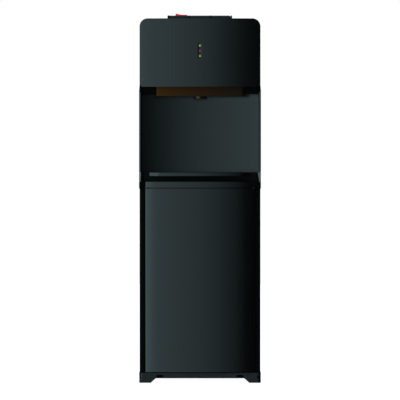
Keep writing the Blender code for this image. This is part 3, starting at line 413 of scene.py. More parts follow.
def bow(across, half, edge_y, middle_y, corner=0.0, quicken=0.0):
    """Front surface of a bowed panel, with its upright edges rounded by a corner radius.

    quicken is the share of the bow that comes only near the two ends.
    """
    flat = half - corner
    if corner and abs(across) > flat:
        beyond = min(abs(across) - flat, corner)
        return edge_y + corner - math.sqrt(corner ** 2 - beyond ** 2)
    reach = across / flat
    return middle_y + (edge_y - middle_y) * ((1 - quicken) * reach ** 2 + quicken * reach ** 8)


# ---------------------------------------------------------------- mesh helpers

def new_object(name, shape):
    """An object at the origin from a bmesh in the frame's coordinates."""
    mesh = bpy.data.meshes.new(name)
    shape.normal_update()
    shape.to_mesh(mesh)
    shape.free()
    piece = bpy.data.objects.new(name, mesh)
    scene.collection.objects.link(piece)
    return piece


def weld(shape, distance):
    bmesh.ops.remove_doubles(shape, verts=shape.verts, dist=distance)
    bmesh.ops.dissolve_degenerate(shape, edges=shape.edges, dist=distance)


def skin(name, rings, closed=False):
    """An object from rings of points, each joined to the next.

    The last ring is joined to the first if closed; otherwise both end rings are capped.
    """
    shape = bmesh.new()
    rings = [[shape.verts.new(point) for point in ring] for ring in rings]
    pairs = list(zip(rings, rings[1:]))
    if closed:
        pairs.append((rings[-1], rings[0]))
    else:
        shape.faces.new(rings[0])
        shape.faces.new(rings[-1])
    for here, there in pairs:
        for index in range(len(here)):
            after = (index + 1) % len(here)
            shape.faces.new((here[index], here[after], there[after], there[index]))
    if closed:
        weld(shape, 0.000001)
    bmesh.ops.recalc_face_normals(shape, faces=shape.faces)
    return new_object(name, shape)


def facing_point(facing, first, second, depth):
    """A point from its two outline coordinates and its depth along the facing axis."""
    return {
        "X": (depth, first, second), "Y": (first, depth, second), "Z": (first, second, depth),
    }[facing]


def prism(name, outline, low, high, facing="Z", far_outline=None):
    """A closed outline with straight sides between two depths, to another outline if given."""
    return skin(name, [
        [facing_point(facing, *point, depth) for point in points]
        for points, depth in ((outline, low), (far_outline or outline, high))
    ])


def lathe(name, profile, centre, sides=72, axis="Z"):
    """A closed profile of radius and height turned about an axis through the centre."""
    rings = []
    for step in range(sides):
        angle = 2 * math.pi * step / sides
        ring = []
        for radius, height in profile:
            across = radius * math.cos(angle)
            along = radius * math.sin(angle)
            spot = (across, along, height) if axis == "Z" else (across, height, -along)
            ring.append(Vector(spot) + Vector(centre))
        rings.append(ring)
    return skin(name, rings, closed=True)


def tube(name, points, radius, sides=12):
    """A round tube of rings along a list of points, with flat ends."""
    points = [Vector(point) for point in points]
    side = (points[1] - points[0]).orthogonal()
    rings = []
    for before, point, after in zip([points[0], *points], points, [*points[1:], points[-1]]):
        forward = (after - before).normalized()
        side = (side - forward * side.dot(forward)).normalized()
        up = forward.cross(side)
        rings.append([
            point + Vector(radius * (math.cos(turn) * side + math.sin(turn) * up))
            for turn in (2 * math.pi * step / sides for step in range(sides))
        ])
    return skin(name, rings)


def blocks(name, corners):
    """One mesh of separate boxes, each from its lowest to its highest corner."""
    shape = bmesh.new()
    for low, high in corners:
        low = Vector(low)
        high = Vector(high)
        place = Matrix.Translation((low + high) / 2) @ Matrix.Diagonal((*(high - low), 1.0))
        bmesh.ops.create_cube(shape, size=1.0, matrix=place)
    return new_object(name, shape)


def block(name, low, high):
    return blocks(name, [(low, high)])


def bar(name, centre, radius, length, axis="Z", sides=48):
    """A solid round bar along a main axis."""
    turn = {
        "X": Matrix.Rotation(math.pi / 2, 4, "Y"),
        "Y": Matrix.Rotation(-math.pi / 2, 4, "X"),
        "Z": Matrix.Identity(4),
    }[axis]
    shape = bmesh.new()
    bmesh.ops.create_cone(
        shape, cap_ends=True, segments=sides, radius1=radius, radius2=radius, depth=length,
        matrix=Matrix.Translation(centre) @ turn,
    )
    return new_object(name, shape)


def bake(piece):
    """Replace a piece's mesh by what its modifiers make of it."""
    depsgraph = bpy.context.evaluated_depsgraph_get()
    mesh = bpy.data.meshes.new_from_object(piece.evaluated_get(depsgraph))
    piece.modifiers.clear()
    piece.data = mesh


def combine(piece, tool, operation):
    """Cut, join or intersect now, and remove the tool."""
    step = piece.modifiers.new("combine", "BOOLEAN")
    step.operation = operation
    step.solver = "EXACT"
    step.object = tool
    bake(piece)
    bpy.data.objects.remove(tool)


def cut(piece, *tools):
    for tool in tools:
        combine(piece, tool, "DIFFERENCE")


def slice_across(shape, place, normal):
    bmesh.ops.bisect_plane(shape, geom=[*shape.verts, *shape.edges, *shape.faces],
                           plane_co=place, plane_no=normal, dist=0.000001)


def round_edges(piece, width, segments):
    """Bevel and weighted normals, so that rounded edges keep the big faces flat."""
    edge = piece.modifiers.new("round_over", "BEVEL")
    edge.width = width
    edge.segments = segments
    edge.limit_method = "ANGLE"
    edge.angle_limit = math.radians(35)
    edge.use_clamp_overlap = True
    edge.harden_normals = False
    weigh = piece.modifiers.new("weigh", "WEIGHTED_NORMAL")
    weigh.keep_sharp = True
    weigh.weight = 60


def dress(piece, material, body, node=None, edge=0.0, segments=3):
    """Give a finished piece its material, edges and body, and hide the CAD node it stands for."""
    mesh = piece.data
    shape = bmesh.new()
    shape.from_mesh(mesh)
    weld(shape, 0.000005)
    shape.to_mesh(mesh)
    shape.free()
    mesh.materials.clear()
    mesh.materials.append(material)
    mesh.shade_smooth()
    mesh.set_sharp_from_angle(angle=math.radians(50))
    if edge:
        round_edges(piece, edge, segments)
    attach(piece, body)
    if node:
        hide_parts(node)


def two_tone(piece, second, chosen):
    """Give the chosen faces a second material."""
    piece.data.materials.append(second)
    for face in piece.data.polygons:
        if chosen(face):
            face.material_index = 1


def bowed_dish(name, outline, front, back_y, wall, cuts):
    """A thin shell: a front face that follows a bow, and a rim that runs straight back.

    cuts are the X places at which the front face is divided so that it can bend.
    """
    shape = bmesh.new()
    shape.faces.new([shape.verts.new((across, 0.0, up)) for across, up in outline])
    for across in cuts:
        slice_across(shape, (across, 0.0, 0.0), (1.0, 0.0, 0.0))
    for vertex in shape.verts:
        vertex.co.y = front(vertex.co.x)
    shape.normal_update()
    for face in shape.faces:
        if face.normal.y > 0:
            face.normal_flip()
    rim = [edge for edge in shape.edges if edge.is_boundary]
    for part in bmesh.ops.extrude_edge_only(shape, edges=rim)["geom"]:
        if isinstance(part, bmesh.types.BMVert):
            part.co.y = back_y
    bmesh.ops.recalc_face_normals(shape, faces=shape.faces)
    middle = min(shape.faces, key=lambda face: face.calc_center_median().y)
    if middle.normal.y > 0:
        bmesh.ops.reverse_faces(shape, faces=shape.faces)
    piece = new_object(name, shape)
    thick = piece.modifiers.new("wall", "SOLIDIFY")
    thick.thickness = wall
    thick.offset = -1.0
    thick.use_even_offset = True
    bake(piece)
    return piece


# ---------------------------------------------------------------- places from the frame

PANEL_LOW, PANEL_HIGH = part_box("front_panel")
DOOR_LOW, DOOR_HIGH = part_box("door_panel")
NICHE_LOW, NICHE_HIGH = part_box("niche_shell")
HOUSING_LOW, HOUSING_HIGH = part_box("tray_housing")
TRAY_LOW, TRAY_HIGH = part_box("drip_tray")
GRILLE_LOW, GRILLE_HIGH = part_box("drip_grille")
COVER_LOW, COVER_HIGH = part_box("top_cover")
BASE_LOW, BASE_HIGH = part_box("base")
NOZZLE_LOW, NOZZLE_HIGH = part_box("nozzle")
PIN = sum(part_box("hinge_pin_bottom"), Vector()) / 2
SEAT_Y = sum(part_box("bottle_seat"), Vector()).y / 2

FRAME_Y = NICHE_LOW.y
PROUD_Y = FRAME_Y - 0.006
HALF = HOUSING_HIGH.x
BODY_HALF = PANEL_HIGH.x
DOOR_HALF = DOOR_HIGH.x
DOOR_MID_Y = DOOR_LOW.y
DOOR_CORNER = 0.006
BEZEL_BACK_Y = FRAME_Y + 0.0142
NARROW = BODY_HALF - 0.0013
NICHE_HALF = 0.155
NOZZLE_Y = (NOZZLE_LOW.y + NOZZLE_HIGH.y) / 2
NOZZLE_HOLE = 0.0134
CEILING_Z = 0.761
LAMP_SLOT = (-0.0055, 0.0055, 0.850, 0.892)
FLANGE_Y = -0.1575
KEYS_LEFT = -0.0855
KEYS_RIGHT = 0.0845
KEYS_BACK_Y = -0.0945
KEY_SHADE_TOP = 0.9588


def door_bow(across):
    """Front of the door and of the apron above it."""
    return bow(across, DOOR_HALF, PROUD_Y, DOOR_MID_Y, DOOR_CORNER, 0.15)


def door_cuts(count):
    """Where the door's front is divided: evenly over its bow, and finely round its edges."""
    flat = DOOR_HALF - DOOR_CORNER
    cuts = [-flat, flat, *spread(-flat, flat, count)]
    for turn in range(10, 90, 10):
        reach = flat + DOOR_CORNER * math.sin(math.radians(turn))
        cuts += [-reach, reach]
    return cuts


# ---------------------------------------------------------------- front

def front_panel():
    """Bowed upper front with big top corners and an oval lamp slot."""
    outline = rounded(-BODY_HALF, BODY_HALF, PANEL_LOW.z, PANEL_HIGH.z, 0.0105, 0.021, 14)

    def surface(across):
        return bow(across, BODY_HALF, PROUD_Y, PANEL_LOW.y)

    panel = bowed_dish("front_cover", outline, surface, PANEL_HIGH.y, 0.0025,
                       spread(-BODY_HALF, BODY_HALF, 72))
    slot = slot_outline(*LAMP_SLOT, 0.0054, 10)
    cut(panel, prism("slot", slot, PANEL_LOW.y - 0.01, PANEL_LOW.y + 0.01, "Y"))
    dress(panel, GLOSS, "root", "front_panel", 0.0010)


def lamps():
    """Oval insert with a dished face, and three domed lenses."""
    left, right, low, high = LAMP_SLOT
    dish = 0.00026
    face = PANEL_LOW.y + 0.0004
    oval = slot_outline(left + GAP, right - GAP, low + GAP, high - GAP, 0.0051, 10)

    def hollow(across):
        return face + dish * (1.0 - (across / right) ** 2)

    insert = bowed_dish("lamp_bezel", oval, hollow, face + 0.0032, 0.0006,
                        spread(left, right, 16))
    for name, glow in (("heating", LAMP_AMBER), ("power", LAMP_RED), ("cooling", LAMP_GREEN)):
        lens_low, lens_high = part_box("lens_" + name)
        level = (lens_low.z + lens_high.z) / 2
        cut(insert, bar("hole", (0.0, face, level), 0.0031, 0.01, "Y", 32))
        depth = lens_high.y - lens_low.y
        profile = [(0.0, depth), (0.0028, depth), *dome(0.0028, 0.0006, -0.0006, 10)]
        lens = lathe("lens_dome_" + name, profile, (0.0, lens_low.y, level), 36, "Y")
        dress(lens, glow, "root", "lens_" + name)
    dress(insert, GLOSS, "root", "lamp_insert", 0.0002)


def niche_plan(offset=0.0):
    """Inner plan of the niche wall, pushed outwards by an offset."""
    corner = 0.002
    turn_x = NICHE_HALF - corner
    turn_y = -0.060
    back = [(across, bow(across, turn_x, turn_y + corner, -0.0500) + offset)
            for across in spread(-turn_x, turn_x, 40)]
    return (
        [(-NICHE_HALF - offset, FRAME_Y)]
        + arc((-turn_x, turn_y), corner + offset, 180, 90, 10)
        + back
        + arc((turn_x, turn_y), corner + offset, 90, 0, 10)
        + [(NICHE_HALF + offset, FRAME_Y)]
    )


def niche():
    """Dispensing niche: cheeks, hollow back wall, and the ceiling with the nozzle's hole."""
    lip = 0.002
    right = [(HALF - lip, FRAME_Y), *arc((HALF - lip, FRAME_Y + lip), lip, -90, 0, 5)[1:],
             (HALF, BEZEL_BACK_Y), (NARROW, BEZEL_BACK_Y)]
    left = [(-across, along) for across, along in reversed(right)]
    outer = niche_plan(NARROW - NICHE_HALF)[1:-1]
    wall = prism("niche_wall", niche_plan() + right + outer[::-1] + left,
                 NICHE_LOW.z, NICHE_HIGH.z)
    flare_low = 0.763
    flare_high = 0.781
    shape = bmesh.new()
    shape.from_mesh(wall.data)
    for level in spread(flare_low, flare_high, 4) + [flare_low, flare_high]:
        slice_across(shape, (0.0, 0.0, level), (0.0, 0.0, 1.0))
    for vertex in shape.verts:
        if abs(vertex.co.x) > NARROW + 0.0002 and vertex.co.z > flare_low:
            rise = min(1.0, (vertex.co.z - flare_low) / (flare_high - flare_low))
            vertex.co.x -= math.copysign((HALF - BODY_HALF) * rise ** 1.5, vertex.co.x)
    shape.to_mesh(wall.data)
    shape.free()
    dress(wall, NICHE_GLOSS_PAINTED_BLOOM, "root", "niche_shell", 0.0006, 2)
    # Painted shade on the cheeks' outer rims above the ceiling, in place of a glancing reflection.
    two_tone(wall, PAINTED_SHADE, lambda face: face.center.z > CEILING_Z + 0.001
             and abs(face.center.x) > NICHE_HALF + 0.0002 and face.center.y < -0.140)
    roof_front = -0.145
    roof = niche_plan(-0.0002)
    roof[0] = (roof[0][0], roof_front)
    roof[-1] = (roof[-1][0], roof_front)
    ceiling = prism("niche_ceiling", roof, CEILING_Z, CEILING_Z + 0.0025)
    combine(ceiling, block("upstand", (-0.1548, roof_front, CEILING_Z),
                           (0.1548, roof_front + 0.0018, NICHE_HIGH.z - 0.001)), "UNION")
    cut(ceiling, bar("hole", (0.0, NOZZLE_Y, CEILING_Z), NOZZLE_HOLE, 0.02))
    # The ceiling takes painted shade, standing in for the shadow under the front panel.
    dress(ceiling, PAINTED_SHADE, "root", edge=0.0004)


def nozzle():
    """Smoked strip that hides the taps, and the outlet nozzle below it."""
    low = STRIP_LOW
    high = STRIP_HIGH
    wall = 0.0025
    cover = prism("smoked_strip", rounded(low.x, high.x, low.y, high.y, 0.008, 0.003, 10),
                  low.z, high.z)
    inner = rounded(low.x + wall, high.x - wall, low.y + wall, high.y - wall, 0.0055, 0.001, 10)
    cut(cover, prism("hollow", inner, low.z + wall, high.z + 0.01),
        block("room", (-0.13, -0.1455, CEILING_Z - GAP), (0.13, -0.06, high.z + 0.02)),
        bar("hole", (0.0, NOZZLE_Y, low.z), NOZZLE_HOLE, 0.02))
    dress(cover, SMOKED, "root", "nozzle_cover", 0.0008)
    bottom = NOZZLE_LOW.z
    flange = NOZZLE_HIGH.x
    profile = [
        (0.0080, NOZZLE_HIGH.z), (0.0130, NOZZLE_HIGH.z), (0.0130, bottom + 0.0082),
        (flange - 0.0006, bottom + 0.0082), (flange, bottom + 0.0076), (flange, bottom + 0.0058),
        (flange - 0.0008, bottom + 0.0050), (flange - 0.0008, bottom + 0.0044),
        (flange, bottom + 0.0038), (flange, bottom + 0.0012), (flange - 0.0004, bottom + 0.0004),
        (0.0128, bottom), (0.0090, bottom), (0.0084, bottom + 0.0008), (0.0080, bottom + 0.0030),
    ]
    spout = lathe("nozzle_spout", profile, (0.0, NOZZLE_Y, 0.0))
    dress(spout, NOZZLE_PLASTIC, "root", "nozzle")
    centre = Vector((0.0, NOZZLE_Y, bottom + 0.006))
    for turn in range(3):
        angle = math.pi * turn / 3
        along = Vector((math.cos(angle), math.sin(angle), 0.0)) * 0.0084
        fin = tube(f"nozzle_vane_{turn}", [centre - along, centre + along], 0.0006, 8)
        dress(fin, NOZZLE_PLASTIC, "root")


def tray_housing():
    """Tray well with its cheeks, the bowed apron strip and the full-width flange."""
    low = HOUSING_LOW.z
    apron_top = TRAY_LOW.z - GAP
    corner = 0.004
    plan = mirrored([*arc((HALF - corner, FRAME_Y + corner), corner, -90, 0, 8),
                     (HALF, BEZEL_BACK_Y), (NARROW, BEZEL_BACK_Y), (NARROW, HOUSING_HIGH.y)])
    body = prism("tray_well", plan, low, HOUSING_HIGH.z)
    cut(body,
        block("well", (-0.150, -0.18, apron_top), (0.150, TRAY_HIGH.y + 0.0005, 0.57)),
        block("underside", (-0.150, -0.1465, low - 0.01), (0.150, -0.036, 0.5246)),
        block("hollow", (-0.150, -0.053, low - 0.01), (0.150, -0.036, 0.5496)))
    outside = 0.1620
    front = -0.156
    slope = 1.58
    for side, *reaches in ((-1, 0.1555, 0.1545), (1, 0.1545, 0.1500)):
        near, far = [
            [(side * reach, front), (side * outside, front),
             (side * outside, front + slope * (outside - reach))]
            for reach in reaches
        ]
        cut(body, prism("chamfer", near, apron_top, HOUSING_HIGH.z + 0.001, far_outline=far))
    # The housing takes painted shade, standing in for the dark recess round the tray; its chamfers
    # keep a glossy finish.
    dress(body, PAINTED_SHADE, "root", "tray_housing", 0.0005, 2)
    two_tone(body, GLINT, lambda face: 0.7 < abs(face.normal.x) < 0.95 and face.area > 0.00002)

    bowed_half = 0.1370
    flange = rounded(-HALF, HALF, FLANGE_Y, FRAME_Y + 0.004, 0.0034, 0.0005, 6)
    flange.append((-0.1445, FLANGE_Y))
    flange += [(across, min(FLANGE_Y, door_bow(across) + 0.002))
               for across in spread(-bowed_half, bowed_half, 24)]
    flange.append((0.1445, FLANGE_Y))
    ledge = prism("housing_flange", flange, low, low + 0.003)
    # Painted shade on the flange, except the bowed middle of its front, which stays glossy.
    dress(ledge, PAINTED_SHADE, "root", edge=0.0008)
    two_tone(ledge, GLOSS, lambda face: face.normal.y < -0.9 and abs(face.center.x) < bowed_half)

    outline = rounded(-DOOR_HALF, DOOR_HALF, low + 0.0031, apron_top, 0.0012, 0.0030, 5)
    strip = bowed_dish("apron_strip", outline, door_bow, FRAME_Y + 0.0006, 0.0022, door_cuts(48))
    dress(strip, GLOSS, "root", edge=0.0020, segments=5)


LIP_FLAT = 0.107


def lip_front(across):
    """Front of the tray's lip: gently bowed, then turning back in a wide radius."""
    radius = 0.045
    reach = DOOR_HALF - DOOR_CORNER
    bowed = DOOR_MID_Y + (PROUD_Y - DOOR_MID_Y) * (min(abs(across), LIP_FLAT) / reach) ** 2
    if abs(across) <= LIP_FLAT:
        return bowed
    slope = math.atan(2 * (PROUD_Y - DOOR_MID_Y) * LIP_FLAT / reach ** 2)
    turn = math.asin(math.sin(slope) + (abs(across) - LIP_FLAT) / radius)
    return bowed + radius * (math.cos(slope) - math.cos(turn))


def drip_tray():
    """Pull-out tray with a bowed lip."""
    tray = block("tray_body", (TRAY_LOW.x, -0.150, TRAY_LOW.z), TRAY_HIGH)
    cut(tray,
        block("sump", (-0.1425, -0.146, 0.5302), (0.1425, TRAY_HIGH.y - 0.0047, 0.57)),
        block("rebate", (-0.1465, -0.148, 0.5467), (0.1465, TRAY_HIGH.y - 0.0022, 0.57)))
    dress(tray, TRAY_PAINTED_SHADE, "drip_tray", "drip_tray", 0.0006, 2)
    half = 0.1340
    outline = slot_outline(-half, half, 0.5428, TRAY_HIGH.z, 0.0018, 5)
    turned = spread(LIP_FLAT, half, 14)
    cuts = [-LIP_FLAT, LIP_FLAT, *spread(-LIP_FLAT, LIP_FLAT, 40), *turned]
    cuts += [-across for across in turned]
    lip = bowed_dish("tray_lip", outline, lip_front, -0.1492, 0.0012, cuts)
    dress(lip, GLOSS, "drip_tray", edge=0.0010, segments=4)


def grille():
    """Frame of the grille with rounded slats that run front to back."""
    slats = block("grille_frame", GRILLE_LOW, GRILLE_HIGH)
    pitch = 0.017
    count = 16
    for index in range(count):
        middle = (index - (count - 1) / 2) * pitch
        slot = slot_outline(middle - 0.004, middle + 0.004, -0.138, -0.069, 0.0038, 6)
        cut(slats, prism("slot", slot, 0.54, 0.56))
    dress(slats, MATT, "drip_grille", "drip_grille", 0.0009)


# ---------------------------------------------------------------- door

def door():
    """Bowed door with rounded upright edges, as a shell open to the rear."""
    outline = slot_outline(-DOOR_HALF, DOOR_HALF, DOOR_LOW.z, DOOR_HIGH.z, 0.002, 5)
    cover = bowed_dish("door_cover", outline, door_bow, DOOR_HIGH.y, 0.003, door_cuts(64))
    dress(cover, GLOSS, "door", "door_panel", 0.0011)
    # Painted shade on the door's right-hand rounded edge, in place of the reflection it would catch
    # there.
    two_tone(cover, PAINTED_SHADE, lambda face: face.normal.x > 0.55 and face.center.x > 0.0)
    for index, level in enumerate((DOOR_HIGH.z - 0.0175, DOOR_LOW.z + 0.0175)):
        boss = bar(f"hinge_boss_{index}", (PIN.x, PIN.y, level), 0.0062, 0.028, sides=40)
        cut(boss, bar("bore", (PIN.x, PIN.y, level), 0.0033, 0.07, sides=32))
        dress(boss, SATIN, "door", edge=0.0004)


def door_inside():
    """Moulded inner pan with a raised, rounded middle."""
    low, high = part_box("door_liner")
    pan = block("liner_pan", low, (high.x, low.y + 0.002, high.z))
    dress(pan, LINER, "door", "door_liner", 0.0006)
    rise = slot_outline(-0.108, 0.108, 0.050, 0.488, 0.012, 10)
    field = prism("liner_bulge", rise, low.y + 0.0018, high.y, "Y")
    inner = slot_outline(-0.094, 0.094, 0.064, 0.474, 0.008, 10)
    cut(field, prism("recess", inner, high.y - 0.0025, high.y + 0.01, "Y"))
    dress(field, LINER, "door", edge=0.0018, segments=4)


def gasket():
    """Soft magnetic seal with a bellows ridge, round the inside of the door."""
    low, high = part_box("door_gasket")
    depth = high.y - low.y
    width = 0.010
    ridges = [
        (0.0, 0.0), (1.0, 0.0), (1.0, 0.25), (0.90, 0.40), (1.0, 0.55), (1.0, 0.85),
        (0.86, 1.0), (0.14, 1.0), (0.0, 0.85), (0.0, 0.55), (0.10, 0.40), (0.0, 0.25),
    ]
    rings = []
    for inward_share, back_share in ridges:
        inwards = width * inward_share
        ring = slot_outline(low.x + inwards, high.x - inwards, low.z + inwards, high.z - inwards,
                            0.0105 - inwards, 6)
        rings.append([(across, low.y + depth * back_share, up) for across, up in ring])
    dress(skin("gasket_bellows", rings, closed=True), RUBBER, "door", "door_gasket")


# ---------------------------------------------------------------- case

def cabinet():
    """Cabinet box with rounded inside edges, its front rim, ledges, and the slotted shelf."""
    low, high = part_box("cabinet_liner")
    body = block("liner_box", (-0.143, low.y, 0.030), (0.143, high.y, 0.506))
    combine(body, block("rim", low, (high.x, low.y + 0.002, high.z)), "UNION")
    hollow = slot_outline(-0.141, 0.141, 0.032, 0.504, 0.004, 8)
    cut(body, prism("inside", hollow, -0.15, high.y - 0.002, "Y"))
    dress(body, LINER, "root", "cabinet_liner", 0.0006, 2)
    # The liner's front rim is black with no reflection: partly a black flange, partly painted shade
    # for what shows through the door's gap.
    two_tone(body, PAINTED_SHADE, lambda face: face.normal.y < -0.9 and face.center.y < low.y + 0.001)
    for side, name in SIDES:
        near, far = sorted((side * 0.1412, side * 0.1350))
        ledge = block(f"shelf_ledge_{name}", (near, -0.120, 0.258), (far, 0.030, 0.262))
        dress(ledge, LINER, "root", edge=0.0009)
    shelf = block("slotted_shelf", *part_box("cabinet_shelf"))
    for index in range(7):
        along = -0.105 + 0.020 * index
        slot = slot_outline(-0.120, 0.120, along, along + 0.008, 0.0038, 6)
        cut(shelf, prism("slot", slot, 0.25, 0.28))
    dress(shelf, LINER, "root", "cabinet_shelf", 0.0007)


def painted_shade_corner(face):
    """Faces round the base's ends that turn away from the light, chosen for painted shade."""
    left = face.normal.x < -0.62
    right = face.normal.x > (0.03 if face.center.z < 0.0195 else 0.62)
    return (left or right) and face.center.y < BASE_LOW.y + 0.012


def base():
    """Skirted base with a step line, two oval recesses in its front, and four feet."""
    front = BASE_LOW.y
    back = BASE_HIGH.y
    top = BASE_HIGH.z
    wall = 0.004
    lower = slot_outline(-HALF + 0.0003, HALF - 0.0003, front + 0.0004, back - 0.0004, 0.0097, 12)
    upper = slot_outline(-HALF, HALF, front, back, 0.010, 12)
    inner = slot_outline(-HALF + wall, HALF - wall, front + wall, back - wall, 0.006, 10)
    shell = prism("base_skirt", lower, 0.012, 0.0201)
    combine(shell, prism("upper", upper, 0.0200, top), "UNION")
    cut(shell, prism("inside", inner, 0.0, top - wall))
    for side, name in SIDES:
        middle = side * 0.105
        oval = slot_outline(middle - 0.009, middle + 0.009, 0.0136, 0.0210, 0.0036, 8)
        cut(shell, prism("recess", oval, front - 0.01, front + 0.01, "Y"))
        # Behind each recess, a block in painted shade stands in for the dark inside the base.
        painted_shade_block = block(f"recess_floor_{name}", (middle - 0.011, front + 0.0041, 0.0125),
                      (middle + 0.011, front + 0.0056, 0.0222))
        dress(painted_shade_block, PAINTED_SHADE, "root", edge=0.0003)
    dress(shell, BASE_PLASTIC, "root", "base", 0.0007)
    # Painted shade on the base's ends where they turn away from the light.
    two_tone(shell, PAINTED_SHADE, painted_shade_corner)
    foot_top = 0.0121
    for side, name in SIDES:
        foot = [(side * 0.116, foot_top), (side * 0.1294, 0.0), (side * 0.165, 0.0),
                (side * 0.165, foot_top)]
        for index, depth in enumerate((front + 0.001, back - 0.046)):
            piece = prism(f"foot_{name}_{index}", foot, depth, depth + 0.045, "Y")
            combine(piece, prism("corner", lower, -0.001, 0.013), "INTERSECT")
            dress(piece, BASE_PLASTIC, "root", edge=0.0006)
            two_tone(piece, PAINTED_SHADE, painted_shade_corner)


def side_panels():
    """Steel sides, folded finely round the front edge."""
    inmost = 0.1460
    fold_end = 0.1449
    sheet = 0.001
    fold = (BODY_HALF - 0.008, FRAME_Y + 0.008)
    for side, end in SIDES:
        name = "side_panel_" + end
        low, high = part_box(name)
        plan = [(inmost, high.y), (BODY_HALF, high.y), *arc(fold, 0.008, 0, -90, 16),
                (fold_end, FRAME_Y), (fold_end, FRAME_Y + sheet), *arc(fold, 0.007, -90, 0, 16),
                (BODY_HALF - sheet, high.y - sheet), (inmost, high.y - sheet)]
        panel = prism(f"steel_{name}", [(side * across, along) for across, along in plan],
                      low.z, high.z)
        near, far = sorted((side * 0.14, side * 0.17))
        cut(panel, block("notch", (near, FRAME_Y - 0.01, HOUSING_LOW.z - GAP),
                         (far, BEZEL_BACK_Y + GAP, NICHE_HIGH.z + GAP)))
        dress(panel, STEEL_BLACK, "root", name)
        # Painted shade on the front strips and folds, which sit recessed beside the door.
        two_tone(panel, PAINTED_SHADE, lambda face: face.normal.y < -0.03)


def lid_section(inset):
    """The lid across its width: upright sides and big rounded shoulders."""
    shoulder = 0.021 - inset
    half = BODY_HALF - inset
    centre_x = half - shoulder
    centre_z = PANEL_HIGH.z - inset - shoulder
    return ([(-half, COVER_LOW.z), (half, COVER_LOW.z)]
            + arc((centre_x, centre_z), shoulder, 0, 90, 20)
            + arc((-centre_x, centre_z), shoulder, 90, 180, 20))


def top_cover():
    """Lid with big rounded side edges, a boss for the bottle seat, and the keys' opening."""
    wall = 0.003
    rear = COVER_HIGH.y
    cover = prism("lid", lid_section(0.0), FRAME_Y, rear, "Y")
    inside = [(across, up if up > COVER_LOW.z + 0.0001 else up - 0.01)
              for across, up in lid_section(wall)]
    cut(cover, prism("inside", inside, FRAME_Y - 0.01, rear - wall, "Y"))
    boss = bar("boss", (0.0, SEAT_Y, PANEL_HIGH.z - 0.0035), 0.101, 0.006, sides=96)
    combine(cover, boss, "UNION")
    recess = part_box("bottle_seat")[1].x + 0.0006
    cut(cover,
        bar("recess", (0.0, SEAT_Y, 0.9635), recess, 0.02, sides=96),
        bar("hole", (0.0, SEAT_Y, COVER_HIGH.z), 0.0915, 0.05, sides=96),
        block("opening", (KEYS_LEFT, -0.1495, 0.94), (KEYS_RIGHT, KEYS_BACK_Y, 0.97)))
    dress(cover, GLOSS, "root", "top_cover", 0.0007, 2)


def screws(name, spots, face_y):
    """Cross-headed pan screws on a rear face."""
    profile = [(0.0, 0.0), (0.0032, 0.0), *dome(0.0032, 0.0004, 0.0010, 15)]
    for index, (across, up) in enumerate(spots):
        head = lathe(f"{name}_{index}", profile, (across, face_y, up), 28, "Y")
        for long, tall in ((0.0019, 0.0004), (0.0004, 0.0019)):
            cut(head, block("cross", (across - long, face_y + 0.0008, up - tall),
                            (across + long, face_y + 0.003, up + tall)))
        dress(head, STEEL, "root")


def back_panel():
    """Rear sheet with vents, openings, stand-off ribs and its screws."""
    low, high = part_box("back_panel")
    back = low.y + 0.001
    switch_x = -0.085
    panel = block("rear_sheet", low, (high.x, back, high.z))
    cut(panel,
        block("switch", (switch_x - 0.028, 0.14, 0.7088), (switch_x + 0.028, 0.16, 0.7312)),
        bar("cord", (switch_x, back, 0.680), 0.0083, 0.02, "Y"),
        bar("drain", (0.132, back, 0.545), 0.0062, 0.02, "Y"))
    for level in (0.800, 0.815, 0.830, 0.845):
        slot = slot_outline(-0.06, 0.06, level, level + 0.005, 0.0024, 6)
        cut(panel, prism("vent", slot, 0.14, 0.16, "Y"))
    dress(panel, STEEL_BLACK, "root", "back_panel")
    for side, name in SIDES:
        rib = block(f"rib_{name}", (side * 0.095 - 0.004, back, 0.225),
                    (side * 0.095 + 0.004, high.y, 0.650))
        dress(rib, STEEL_BLACK, "root", edge=0.0008)
    levels = (0.222, 0.400, 0.580, 0.760, 0.915)
    screws("rear_screw", [(side * 0.139, level) for side in (-1, 1) for level in levels], back)


# ---------------------------------------------------------------- keys

def keys():
    """Three satin piano keys with softened edges and a slightly dished top."""
    dip = 0.00035
    nose = 0.0014
    rear_radius = 0.010
    for label in KEY_LABELS:
        low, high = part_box(f"{label}_key")
        front = low.y
        rear = high.y
        top = high.z
        profile = [
            (front, KEY_SHADE_TOP), (front, 0.9470), (-0.128, 0.9470), (-0.128, 0.9600),
            (-0.113, 0.9600), (-0.113, low.z), (rear - 0.002, low.z), (rear, low.z + 0.0022),
            (rear, 0.9560), *arc((rear - rear_radius, top - rear_radius), rear_radius, 10, 90, 8),
        ]
        flat_rear = rear - rear_radius
        flat_front = front + nose
        for along in spread(0.0, 1.0, 12):
            profile.append((
                flat_rear + (flat_front - flat_rear) * along,
                top - dip * math.sin(math.pi * along) ** 2,
            ))
        profile += arc((front + nose, top - nose), nose, 90, 180, 8)
        key = prism(f"key_{label}", profile, low.x, high.x, "X")
        cut(key, bar("bore", ((low.x + high.x) / 2, -0.104, 0.948), 0.0024, 0.06, "X", 32))
        if label == "hot":
            cut(key, block("groove", (-0.0725, -0.1405, 0.9617), (-0.0327, -0.1115, 0.98)))
        if label == "cold":
            corner = [(high.x - 0.0040, top + 0.001), (high.x + 0.001, top + 0.001),
                      (high.x + 0.001, top - 0.0036), (high.x, top - 0.0028)]
            cut(key, prism("corner", corner, front - 0.01, rear + 0.01, "Y"))
        dress(key, KEY_PLASTIC, f"{label}_key", f"{label}_key", 0.0005)
        # Painted shadow on the lowest strip of each key's front, just above the panel.
        two_tone(key, PAINTED_SHADE, lambda face: face.normal.y < -0.9 and face.center.z < KEY_SHADE_TOP)


